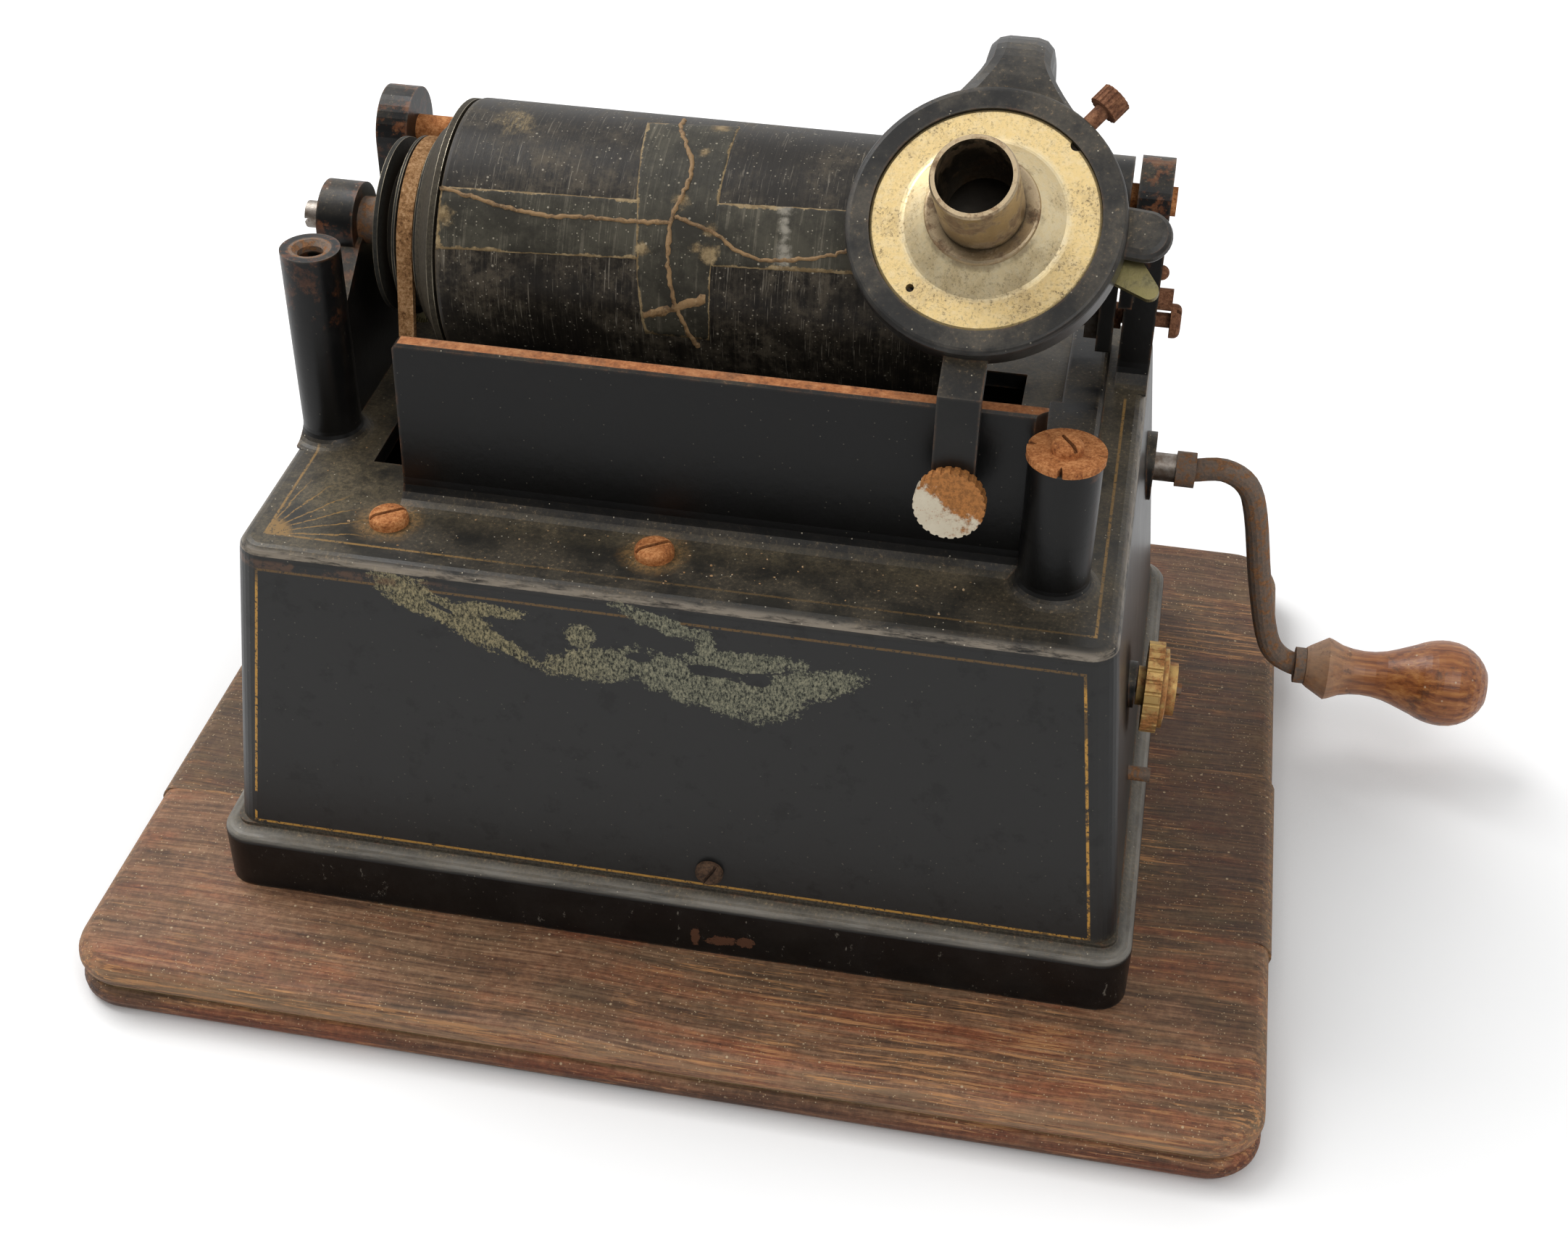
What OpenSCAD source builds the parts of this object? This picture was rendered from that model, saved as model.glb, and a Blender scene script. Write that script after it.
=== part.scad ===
// Cylinder phonograph: iron body on a moulded wooden base, belt-driven mandrel,
// reproducer arm on a back rod, spring motor and side crank.
// X runs along the mandrel, Y to the back, Z up, origin at the centre of the base underside.

/* [Base] */
// Length of the wooden base
base_l = 257.5; // [250:0.5:270]
// Depth of the wooden base
base_w = 203.4; // [195:0.2:215]
// Thickness of the wooden base
base_t = 14; // [13:0.5:18]
// Corner radius of the base
base_r = 12; // [10:0.5:16]
// Distance of the front seam before the base centre
board_seam = 45.5; // [40:0.2:50]
// Depth of the middle board
board_middle = 54.6; // [50:0.2:60]
// Step between the board ends
board_step = 0.6; // [0.2:0.1:1.2]

/* [Body casting] */
// Distance of the casting's centre from the base centre
body_x = -2.2; // [-6:0.2:2]
// Height of the casting over the base
body_h = 87.7; // [84:0.1:92]
// Length of the deck
deck_l = 178.2; // [174:0.2:184]
// Depth of the deck
deck_w = 127; // [123:0.5:133]
// Length of the walls at their foot
wall_l = 192.8; // [190:0.2:196]
// Depth of the walls at their foot
wall_w = 137.4; // [135:0.2:141]
// Length of the skirt
skirt_l = 199.8; // [199:0.2:206]
// Depth of the skirt
skirt_w = 144; // [143:0.5:150]
// Height of the skirt
skirt_h = 16; // [14:0.5:20]
// Thickness of the walls and the deck
wall_t = 4; // [3:0.1:5]
// Corner radius of the casting
wall_r = 4; // [3.5:0.1:6]
// Rounding of the deck's edge
deck_round = 2.6; // [1.5:0.1:3.2]

/* [Deck well and guide wall] */
// Inset of the well from the deck's left end
well_left = 18.3; // [16:0.1:19]
// Inset of the well from the deck's right end
well_right = 27.3; // [26.8:0.1:31]
// Front edge of the well
well_front = -28.4; // [-29:0.1:-27.5]
// Rear edge of the well
well_rear = 35.2; // [31:0.1:35.4]
// Height of the guide wall over the deck
guide_h = 35.8; // [30:0.1:36.5]
// Length of the guide wall
guide_l = 130.1; // [120:0.1:132]
// Thickness of the guide wall at its top
guide_t = 3.4; // [2.8:0.1:4.5]
// Front face of the guide wall at its top
guide_y = -38.1; // [-38.6:0.1:-37.5]
// Radius of the fillets at the foot of walls and posts
foot_fillet = 5; // [3:0.2:5]

/* [Columns] */
// Radius of the horn column
horn_column_r = 6.2; // [5.5:0.1:7]
// Height of the horn column over the deck
horn_column_h = 44.1; // [38:0.1:50]
// Radius of the horn column's bore
horn_bore_r = 2.65; // [2.2:0.05:3.2]
// Depth of the horn column's bore
horn_bore_h = 30; // [20:0.5:35]
// Distance of the horn column in front of the mandrel axis
horn_column_back = 25; // [24:0.2:27]
// Radius of the right column
stop_column_r = 7.2; // [6:0.1:8]
// Height of the right column over the deck
stop_column_h = 30.2; // [24:0.1:34]
// Right column axis, front to back
stop_column_y = -42.3; // [-44:0.1:-41]
// Radius of the disc on the right column
stop_disc_r = 7.7; // [7.2:0.1:8.5]
// Thickness of the disc on the right column
stop_disc_t = 1.5; // [1:0.1:3]

/* [Back rod and posts] */
// Radius of the back rod
rod_r = 3.175; // [2.8:0.025:3.6]
// Back rod axis, front to back
rod_y = 46.4; // [45.5:0.1:47]
// Back rod axis over the deck
rod_h = 40.6; // [39:0.1:42]
// Radius of the post heads
post_r = 9.3; // [8:0.1:10.5]
// Thickness of the rear posts
post_t = 7.2; // [6:0.1:9]
// Inset of the posts from the deck's ends
post_inset = 0.5; // [0.2:0.1:2]

/* [Mandrel and record] */
// Mandrel axis, front to back
mandrel_y = 6.5; // [5.5:0.1:7.5]
// Mandrel axis over the deck
mandrel_h = 38; // [37:0.1:39.5]
// Radius of the record cylinder
record_r = 27.8; // [27.2:0.1:28.2]
// Length of the record cylinder
record_l = 108; // [100:0.5:110]
// Radius of the record's bore at its wide end
bore_wide = 23; // [22.4:0.1:23.4]
// Radius of the record's bore at its narrow end
bore_narrow = 21.7; // [21:0.1:22.2]
// Radius of the mandrel shaft
shaft_r = 2.6; // [2.2:0.1:3]
// Radius of the long bush
bush_r = 5; // [4.4:0.1:5.6]
// Radius of the lug round the long bush
lug_r = 8; // [7:0.1:9]
// Radius of the mandrel's belt pulley
pulley_r = 17; // [15:0.1:18]
// Radius of the nickelled flange
flange_r = 27.5; // [27:0.1:28.4]

/* [Gears] */
// Tooth module of the feed gears
feed_mod = 0.5; // [0.48:0.01:0.52]
// Width of the feed gears
feed_gear_t = 2.3; // [1.5:0.1:2.8]
// Feed screw radius
feed_r = 3; // [2.4:0.1:3.4]
// Feed screw axis over the deck
feed_h = 11.3; // [10.8:0.1:12]

/* [Reproducer arm] */
// Radius of the arm's sleeve
sleeve_r = 8.8; // [8:0.1:9.4]
// Length of the arm's sleeve
sleeve_l = 55; // [45:0.5:60]
// Gap between the sleeve and the right post at rest
sleeve_gap = 1.5; // [1:0.1:4]
// Radius of the bush inside the sleeve
carriage_r = 4.6; // [4.2:0.1:6]
// Outer radius of the eye
eye_r = 26.9; // [26:0.1:28]
// Radius of the eye's bore
eye_bore = 22.15; // [21.6:0.05:22.6]
// Thickness of the eye
eye_t = 6.5; // [6:0.1:7]
// Tilt of the eye towards the front
eye_tilt = 42; // [40:0.5:44]
// Turn of the eye to the left
eye_yaw = 4; // [2:0.5:5]
// Distance of the eye's face from the mandrel axis
eye_d = 37.8; // [37.6:0.1:38.6]
// Height of the eye centre along its slope
eye_s = -0.3; // [-0.8:0.1:0.4]
// Distance of the eye's centre from the sleeve's right end
eye_in = 26.2; // [24:0.2:28]
// Half width of the neck
neck_w = 6.6; // [5:0.1:7.5]
// Half thickness of the neck
neck_t = 4.2; // [3.4:0.1:4.6]
// Outer radius of the horn tube
tube_r = 8.2; // [7.6:0.1:9]
// Height of the horn tube's rim
tube_h = 21.5; // [18:0.5:26]
// Thickness of the front tab
tab_t = 2.5; // [2:0.1:2.8]
// Width of the front tab
tab_w = 8.4; // [8:0.1:10]

/* [Drive] */
// Motor pulley axis, front to back
drive_y = -12; // [-13:0.2:-11]
// Motor pulley axis under the deck
drive_h = 31.7; // [31:0.1:32.5]
// Radius of the motor pulley
drive_r = 12.2; // [11:0.1:13]
// Width of the belt
belt_w = 3.3; // [2.4:0.1:3.4]
// Thickness of the belt
belt_t = 1.6; // [1:0.1:2]
// Thickness of the motor plates
plate_t = 2.4; // [2:0.1:3.5]
// Radius of the spring barrel
barrel_r = 25; // [22:0.2:25.5]
// Length of the spring barrel
barrel_l = 27; // [20:0.5:28]

/* [Crank and fittings] */
// Crank axis, front to back
crank_y = 40; // [39:0.2:41]
// Crank axis under the deck
crank_h = 23.7; // [23:0.1:24.5]
// Radius of the crank rod
crank_r = 2.75; // [2.2:0.05:3.2]
// Throw of the crank
crank_throw = 53; // [48:0.5:54]
// Radius of the crank grip at its bulb
grip_r = 10.4; // [9:0.1:10.8]
// Length of the crank grip
grip_l = 42.8; // [40:0.2:50]
// Speed knob axis, front to back
knob_y = -25; // [-26:0.2:-24]
// Speed knob axis under the deck
knob_h = 36.7; // [36:0.1:37.5]
// Radius of the speed knob
knob_r = 9.7; // [8:0.1:11]

/* [Clearances] */
// Radial clearance of shafts and bushes
fit = 0.03; // [0.02:0.01:0.08]
// Gap between parts that pass one another
gap = 0.3; // [0.25:0.05:0.4]

/* [Hidden] */
$fn = 64;
eps = 0.5;

// Heights and axes, each as a [front to back, up] pair where it is an axis along X
deck_z = base_t + body_h;
rod_c = [rod_y, deck_z + rod_h];
mandrel_c = [mandrel_y, deck_z + mandrel_h];
drive_c = [drive_y, deck_z - drive_h];
crank_c = [crank_y, deck_z - crank_h];
knob_c = [knob_y, deck_z - knob_h];
feed_c = [rod_y, deck_z + feed_h];

// Ends of the casting along X
deck_x0 = body_x - deck_l / 2;
deck_x1 = body_x + deck_l / 2;
post_x1 = deck_x1 - post_inset;
post_in = post_x1 - post_t;
left_x0 = deck_x0 + post_inset;
left_in = left_x0 + post_t;
lug_x0 = deck_x0 + 0.3;
lug_x1 = lug_x0 + 8;
side_x0 = lug_x0 + 4;
side_x1 = side_x0 + 5;

// Stations along the mandrel, from the long bush to the record
bush_x1 = lug_x1 + 5.4;
gear_x0 = bush_x1 + gap;
gear_x1 = gear_x0 + feed_gear_t;
disc_x0 = gear_x1 + gap;
belt_x = disc_x0 + 6.95;
pulley_x1 = belt_x + 3.25;
flange_x1 = pulley_x1 + 5.7;
record_x0 = flange_x1 + 0.2;
record_x1 = record_x0 + record_l;

// Stations and frame of the reproducer arm
sleeve_x1 = post_in - sleeve_gap;
sleeve_x0 = sleeve_x1 - sleeve_l;
eye_x = sleeve_x1 - eye_in;
neck_x = eye_x + 1.9;
eye_c = [mandrel_y - eye_d * sin(eye_tilt) + eye_s * cos(eye_tilt),
    mandrel_c[1] + eye_d * cos(eye_tilt) + eye_s * sin(eye_tilt)];
eye_top = 0.8;
eye_low = eye_top - eye_t;
ledge_t = 1.4;
ledge_top = eye_low + ledge_t;
ledge_r = eye_bore - 1.55;

// Feed gears and motor train: tooth counts and modules
pinion_n = 30;
idler_n = 58;
feed_n = 50;
wind_n = 20;
wind_wheel_n = 63;
wind_mod = 0.8;
great_n = 72;
great_mod = 0.75;
leaf_n = 12;
wheel_n = 64;
wheel_mod = 0.5;
drive_n = 14;
addendum = 0.7;
dedendum = 1.1;
backlash = 0.1;
pressure = 20;

// Function of the two centre distances of a gear pair
function centres(m, a, b) = m * (a + b) / 2;
function polar(c, r, a) = c + r * [cos(a), sin(a)];
function aim(p, q) = atan2(q[1] - p[1], q[0] - p[0]);
function arc(c, r, a0, a1, n) = [for (i = [0:n]) polar(c, r, a0 + (a1 - a0) * i / n)];
// Point at distances ra and rb from a and b, on the side that turn (1 or -1) gives
function corner(a, b, ra, rb, turn) =
    let (d = norm(b - a), k = (ra * ra - rb * rb + d * d) / (2 * d))
    polar(a, ra, aim(a, b) + turn * acos(k / ra));
// Angle of a driven wheel's first tooth so that it stands in mesh
function in_mesh(ta, za, zb, dir) = dir + 180 + (180 - (ta - dir) * za) / zb;
// Outline round two circles, as a taut belt or a tapered blade lies
function round_two(a, ra, b, rb, n) =
    let (t = aim(a, b), s = acos((ra - rb) / norm(b - a)))
    concat(arc(a, ra, t + s, t + 360 - s, n), arc(b, rb, t - s, t + s, n));
function rounded_section(w, h, r, n) = concat(
    arc([w - r, h - r], r, 0, 90, n), arc([r - w, h - r], r, 90, 180, n),
    arc([r - w, r - h], r, 180, 270, n), arc([w - r, r - h], r, 270, 360, n));

idler_c = corner(mandrel_c, feed_c, centres(feed_mod, pinion_n, idler_n),
    centres(feed_mod, idler_n, feed_n), -1);
barrel_c = polar(crank_c, centres(wind_mod, wind_n, wind_wheel_n), -122.8);
second_c = corner(barrel_c, drive_c, centres(great_mod, great_n, leaf_n),
    centres(wheel_mod, wheel_n, drive_n), -1);
governor_c = polar(drive_c, centres(wheel_mod, wheel_n, leaf_n), 200);

idler_turn = in_mesh(0, pinion_n, idler_n, aim(mandrel_c, idler_c));
feed_turn = in_mesh(idler_turn, idler_n, feed_n, aim(idler_c, feed_c));
wind_turn = in_mesh(0, wind_n, wind_wheel_n, aim(crank_c, barrel_c));
leaf_turn = in_mesh(0, great_n, leaf_n, aim(barrel_c, second_c));
drive_turn = in_mesh(0, wheel_n, drive_n, aim(second_c, drive_c));
governor_turn = in_mesh(0, wheel_n, leaf_n, aim(drive_c, governor_c));

// Stations of the motor along X, and its four pillars
motor_x0 = belt_x + 3.85;
motor_in0 = motor_x0 + plate_t;
motor_in1 = motor_in0 + 53.2;
motor_x1 = motor_in1 + plate_t;
screw_y = -48.6;
plate_y0 = -55;
plate_y1 = 48;
plate_z0 = base_t + 9;
foot_h = 6;
plate_z1 = deck_z - wall_t - 2;
pillars = [[-49, plate_z0 + 8], [-49, plate_z1 - 8], [42, plate_z1 - 6], [-14, plate_z0 + 6]];
pillar_r = 3;
great_x0 = motor_in1 - 6;
barrel_x0 = great_x0 - gap - barrel_l;
second_x0 = motor_in0 + 13;
third_x0 = second_x0 - 5;
wheel_t = 2;
arbor_r = 2;

// Wall position at a height below the deck
function wall_x(z) = deck_x1 + (deck_z - z) * (wall_l - deck_l) / 2 / (body_h - skirt_h);
crank_x = wall_x(crank_c[1]);
knob_x = wall_x(knob_c[1]);
base_screw_x = wall_l / 2 - 11;
base_screw_y = wall_w / 2 - 11;

// Draws in the Y-Z plane and extrudes along X from station x
module at_x(x) {
    translate([x, 0, 0])
        rotate([90, 0, 90])
            children();
}

module rod_x(x0, x1, c, r) {
    at_x(x0)
        translate(c)
            cylinder(h = x1 - x0, r = r);
}

module tube_x(x0, x1, c, ro, ri) {
    difference() {
        rod_x(x0, x1, c, ro);
        rod_x(x0 - eps, x1 + eps, c, ri);
    }
}

// Turned piece on an axis along X, from its [radius, length] outline
module turned_x(x, c, outline) {
    at_x(x)
        translate(c)
            rotate_extrude()
                polygon(outline);
}

// Frame of the eye: X across, Y up its slope, Z out of its face
module in_eye() {
    translate([eye_x, eye_c[0], eye_c[1]])
        rotate([eye_tilt, 0, 0])
            rotate([0, -eye_yaw, 0])
                children();
}

function inv(a) = tan(a) * 180 / PI - a;
// Outline of a spur gear with thinned teeth
function gear_outline(m, z) =
    let (
        rp = m * z / 2,
        rb = rp * cos(pressure),
        ra = rp + addendum * m,
        rr = rp - dedendum * m,
        half = 90 / z - backlash / 2 / rp * 180 / PI + inv(pressure),
        tip = half - inv(acos(rb / ra)),
        root = half - (rr > rb ? inv(acos(rb / rr)) : 0)
    )
    [for (k = [0:z - 1], s = [[rr, -root], [ra, -tip], [ra, tip], [rr, root]])
        polar([0, 0], s[0], k * 360 / z + s[1])];

module gear_x(x0, x1, c, m, z, turn, bore) {
    difference() {
        at_x(x0)
            translate(c)
                rotate(turn)
                    linear_extrude(x1 - x0)
                        polygon(gear_outline(m, z));
        rod_x(x0 - eps, x1 + eps, c, bore);
    }
}

// Plate with a moulded edge: outline gives [inset from the edge, height] points upwards
module moulded_slab(l, w, r, h, outline) {
    section = concat([[0, 0]], [for (p = outline) [r + p[0], p[1]]], [[0, h]]);
    translate([-l / 2 + r, -w / 2 + r, 0])
        cube([l - 2 * r, w - 2 * r, h]);
    for (side = [0, 1]) {
        mirror([side, 0, 0])
            translate([l / 2 - r, w / 2 - r, 0])
                rotate([90, 0, 0])
                    linear_extrude(w - 2 * r)
                        polygon(section);
        mirror([0, side, 0])
            translate([r - l / 2, w / 2 - r, 0])
                rotate([90, 0, 90])
                    linear_extrude(l - 2 * r)
                        polygon(section);
    }
    for (sx = [0, 1], sy = [0, 1])
        mirror([sx, 0, 0])
            mirror([0, sy, 0])
                translate([l / 2 - r, w / 2 - r, 0])
                    rotate_extrude(angle = 90)
                        polygon(section);
}

// Round screw head with a slot, standing on z = 0
module slotted_head(r, h, slot_w) {
    difference() {
        rotate_extrude()
            polygon(concat([[0, 0], [r, 0], [r, h * 0.4]],
                arc([r - h * 0.6, h * 0.4], h * 0.6, 0, 90, 4), [[0, h]]));
        translate([-r - 1, -slot_w / 2, h * 0.5])
            cube([2 * r + 2, slot_w, h]);
    }
}

// Concave fillet round the foot of a column that stands on z = 0
module foot_ring(r, f) {
    rotate_extrude()
        polygon(concat([[0, -eps], [r + f, -eps], [r + f, 0]],
            arc([r + f, f], f, 270, 180, 6), [[0, f]]));
}

module base_board(y0, y1, l) {
    bead = 3;
    torus = 4.1;
    outline = concat(arc([-bead, bead], bead, -90, 55, 6),
        [[-bead, 2 * bead + 0.2], [-bead, 2 * bead + 0.9]],
        arc([-torus, base_t - torus], torus, -42, 90, 7));
    color("saddlebrown")
        difference() {
            intersection() {
                moulded_slab(l, base_w, base_r, base_t, outline);
                translate([-l / 2 - 1, y0, -1])
                    cube([l + 2, y1 - y0, base_t + 2]);
            }
            for (sx = [-1, 1], sy = [-1, 1])
                translate([body_x + sx * base_screw_x, sy * base_screw_y, 0]) {
                    translate([0, 0, -1])
                        cylinder(h = base_t + 2, r = screw_r);
                    translate([0, 0, -1])
                        cylinder(h = screw_sink + 1, r = screw_head_r);
                }
        }
}
screw_r = 2.2;
screw_head_r = 4.4;
screw_sink = 3.5;
seam_front = -board_seam;
seam_rear = seam_front + board_middle;

module base_board_front() {
    base_board(-base_w / 2 - 1, seam_front, base_l - 2 * board_step);
}

module base_board_middle() {
    base_board(seam_front, seam_rear, base_l);
}

module base_board_rear() {
    base_board(seam_rear, base_w / 2 + 1, base_l - 2 * board_step);
}

module base_screws() {
    color("dimgray")
        for (sx = [-1, 1], sy = [-1, 1])
            translate([body_x + sx * base_screw_x, sy * base_screw_y, 0]) {
                translate([0, 0, screw_sink])
                    mirror([0, 0, 1])
                        slotted_head(screw_head_r - 0.2, 2.6, 0.9);
                translate([0, 0, screw_sink])
                    cylinder(h = base_t + 8 - screw_sink, r = screw_r);
            }
}

// Block that tapers from its foot to a rounded top
module tapered_block(l0, w0, z0, l1, w1, z1, r, edge) {
    hull()
        for (sx = [-1, 1], sy = [-1, 1]) {
            translate([sx * (l0 / 2 - r), sy * (w0 / 2 - r), z0])
                cylinder(h = 0.1, r = r, $fn = 32);
            translate([sx * (l1 / 2 - r), sy * (w1 / 2 - r), z1 - edge])
                rotate_extrude($fn = 32)
                    polygon(concat([[0, 0]], arc([r - edge, 0], edge, 0, 90, 4), [[0, edge]]));
        }
}

module post_outline() {
    polygon(concat([[rod_y + post_r, deck_z - eps], [rod_y - post_r - foot_fillet, deck_z - eps]],
        arc([rod_y - post_r - foot_fillet, deck_z + foot_fillet], foot_fillet, -90, 0, 6),
        arc(rod_c, post_r, 180, 0, 20)));
}

module guide_wall() {
    top = deck_z + guide_h;
    foot = deck_z + foot_fillet;
    front = guide_y - 1.4;
    back = guide_y + guide_t + 0.5;
    x0 = stop_column_x - guide_l - 4.4;
    translate([x0, 0, 0])
        difference() {
            rotate([90, 0, 90])
                linear_extrude(guide_l)
                    polygon(concat([[front - foot_fillet, deck_z - eps]],
                        arc([front - foot_fillet, foot], foot_fillet, -90, 0, 5),
                        [[guide_y, top - 0.5], [guide_y + 0.5, top], [guide_y + guide_t, top]],
                        arc([back + foot_fillet, foot], foot_fillet, 180, 270, 5),
                        [[back + foot_fillet, deck_z - eps]]));
            translate([-1, guide_y - 5, top - 2])
                rotate([0, 45, 0])
                    translate([-4, 0, -1])
                        cube([4, 12, 4]);
        }
}
stop_column_x = deck_x1 - 14.7;
horn_column_x = deck_x0 + 5.9;
horn_column_y = mandrel_y - horn_column_back;

module side_plate() {
    m = mandrel_c;
    at_x(side_x0)
        linear_extrude(side_x1 - side_x0)
            polygon([[horn_column_y, deck_z - eps], [horn_column_y, m[1] - 16],
                [m[0] - lug_r + 1, m[1] - 2.5], [m[0], m[1]], [m[0] + lug_r - 1, m[1] - 3],
                [m[0] + lug_r + 5, idler_c[1] + 5], [rod_y - post_r + 1, idler_c[1] + 5],
                [rod_y - post_r + 1, deck_z - eps]]);
}

// Low rail on the deck beside the right post
module deck_rail() {
    x0 = deck_x1 - 18.6;
    x1 = deck_x1 - 9.5;
    h = 3.3;
    for (s = [[x0 - 2.6, 8, 20], [x0, 8, rod_y + 6]])
        translate([0, s[2], deck_z])
            rotate([90, 0, 0])
                linear_extrude(s[2] - s[1])
                    polygon(concat([[s[0], -eps], [x1, -eps]],
                        arc([x1 - 1.8, h - 1.8], 1.8, 0, 90, 4),
                        arc([s[0] + 0.8, h - 0.8], 0.8, 90, 180, 3)));
}

module body_casting() {
    ogee = 3.4;
    outline = concat([[0, 0], [0, skirt_h - ogee]],
        arc([-ogee / 2, skirt_h - ogee], ogee / 2, 0, 90, 4),
        [[-ogee, skirt_h - ogee / 4], [-ogee, skirt_h]]);
    color([0.08, 0.08, 0.08])
        difference() {
            union() {
                difference() {
                    union() {
                        translate([body_x, 0, base_t])
                            moulded_slab(skirt_l, skirt_w, wall_r + 3, skirt_h, outline);
                        translate([body_x, 0, 0])
                            tapered_block(wall_l, wall_w, base_t + skirt_h - 2, deck_l, deck_w,
                                deck_z, wall_r + 2, deck_round);
                    }
                    translate([body_x, 0, 0])
                        tapered_block(wall_l - 2 * wall_t, wall_w - 2 * wall_t, base_t - 1,
                            deck_l - 2 * wall_t, deck_w - 2 * wall_t, deck_z - wall_t,
                            wall_r, 1);
                }
                for (sx = [-1, 1], sy = [-1, 1])
                    translate([body_x + sx * base_screw_x, sy * base_screw_y, base_t])
                        cylinder(h = 20, r = 8);
                guide_wall();
                deck_rail();
                side_plate();
                for (x = [left_x0, post_in])
                    at_x(x)
                        linear_extrude(post_t)
                            post_outline();
                rod_x(lug_x0, lug_x1, mandrel_c, lug_r);
                translate([horn_column_x, horn_column_y, deck_z - eps])
                    cylinder(h = horn_column_h + eps, r = horn_column_r);
                intersection() {
                    translate([horn_column_x, horn_column_y, deck_z])
                        foot_ring(horn_column_r, 3.2);
                    translate([deck_x0 + 0.2, horn_column_y - 20, deck_z - 1])
                        cube([30, 40, 20]);
                }
                translate([stop_column_x, stop_column_y, deck_z]) {
                    translate([0, 0, -eps])
                        cylinder(h = stop_column_h + eps, r = stop_column_r);
                    foot_ring(stop_column_r, 3.2);
                }
                rod_x(crank_x - wall_t - 4, crank_x + 1.2, crank_c, 8);
                rod_x(knob_x - wall_t - 2, knob_x + 1, knob_c, 5);
                translate([post_in - 1.3, rod_y - post_r - 3, deck_z + 20])
                    cube([3, 4, 5]);
            }
            translate([deck_x0 + well_left, well_front, deck_z - wall_t - 1])
                cube([deck_l - well_left - well_right, well_rear - well_front, wall_t + 2]);
            casting_bores();
        }
}

module casting_bores() {
    rod_x(lug_x0 - 1, lug_x1 + 1, mandrel_c, bush_r);
    rod_x(left_x0 - 1, post_x1 + 1, rod_c, rod_r);
    rod_x(left_in - 5, left_in + 1, feed_c, arbor_r + fit);
    rod_x(post_in - 1, post_x1 + 1, feed_c, pivot_r);
    rod_x(gear_x0 - 1, gear_x1 + 1, feed_c, feed_n * feed_mod / 2 + 1.2);
    rod_x(side_x0 - 1, side_x1 + 1, idler_c, stud_r);
    rod_x(crank_x - wall_t - 5, crank_x + 3, crank_c, crank_bush_r);
    rod_x(knob_x - wall_t - 3, knob_x + 3, knob_c, stud_r - 0.4);
    rod_x(post_x1 - 3, post_x1 + 1, post_pin_c, 2.5);
    rod_x(post_x1 - 3, post_x1 + 1, post_dome_c, 1.2);
    translate([horn_column_x, horn_column_y, deck_z + horn_column_h - horn_bore_h])
        cylinder(h = horn_bore_h + 1, r = horn_bore_r);
    translate([horn_column_x, horn_column_y, deck_z + horn_column_h - ring_h])
        cylinder(h = ring_h + 1, r = ring_r);
    translate([stop_column_x, stop_column_y, deck_z + stop_column_h - 12])
        cylinder(h = 13, r = 1.6);
    translate([stop_column_x, stop_column_y, deck_z + stop_column_h])
        cylinder(h = 10, r = stop_disc_r + 0.1);
    for (x = [motor_x0, motor_in1])
        translate([x + plate_t / 2, screw_y, deck_z - wall_t - 1])
            cylinder(h = wall_t + 2, r = 2);
    for (sx = [-1, 1], sy = [-1, 1])
        translate([body_x + sx * base_screw_x, sy * base_screw_y, base_t - 1])
            cylinder(h = 9, r = screw_r);
    translate([face_x, 0, base_t + skirt_h + 5])
        rotate([90, 0, 0])
            translate([0, 0, wall_w / 2 - 6])
                cylinder(h = 8, r = 1.6);
    rod_x(wall_x(stub_c[1]) - 3, wall_x(stub_c[1]) + 5, stub_c, 1.6);
}
pivot_r = 1.7;
stud_r = 2;
crank_bush_r = 5.2;
ring_r = 4.4;
ring_h = 2.2;
post_pin_c = [rod_y - 0.4, feed_c[1] + 5.5];
post_dome_c = [rod_y - 4, feed_c[1] + 14];
face_x = body_x + 10.2;
stub_c = [knob_y - 1, knob_c[1] - 24];

module deck_screws() {
    color("peru")
        for (x = [motor_x0, motor_in1])
            translate([x + plate_t / 2, screw_y, deck_z]) {
                rotate([0, 0, 35])
                    slotted_head(4.05, 2.4, 0.9);
                translate([0, 0, -wall_t - 5])
                    cylinder(h = wall_t + 5, r = 2);
            }
}

module column_disc() {
    color("peru")
        translate([stop_column_x, stop_column_y, deck_z + stop_column_h])
            difference() {
                cylinder(h = stop_disc_t, r = stop_disc_r);
                translate([0, 0, -1])
                    cylinder(h = stop_disc_t + 2, r = 1.6);
                for (a = [-5, 170, 265])
                    rotate([0, 0, a])
                        translate([0, 0, -1])
                            linear_extrude(stop_disc_t + 2)
                                polygon([[stop_disc_r - 1.9, 0], [stop_disc_r + 1, 0.9],
                                    [stop_disc_r + 1, -0.9]]);
            }
}

module column_screw() {
    color("sienna")
        translate([stop_column_x, stop_column_y, deck_z + stop_column_h + stop_disc_t]) {
            rotate([0, 0, 125])
                slotted_head(3.15, 2.2, 0.8);
            translate([0, 0, -10])
                cylinder(h = 10, r = 1.6);
        }
}

module horn_column_bush() {
    color("peru")
        translate([horn_column_x, horn_column_y, deck_z + horn_column_h - ring_h])
            difference() {
                cylinder(h = ring_h, r = ring_r);
                translate([0, 0, -1])
                    cylinder(h = ring_h + 2, r = horn_bore_r);
                translate([0, 0, ring_h - 1])
                    cylinder(h = 1.1, r1 = horn_bore_r, r2 = horn_bore_r + 1.2);
            }
}

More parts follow.
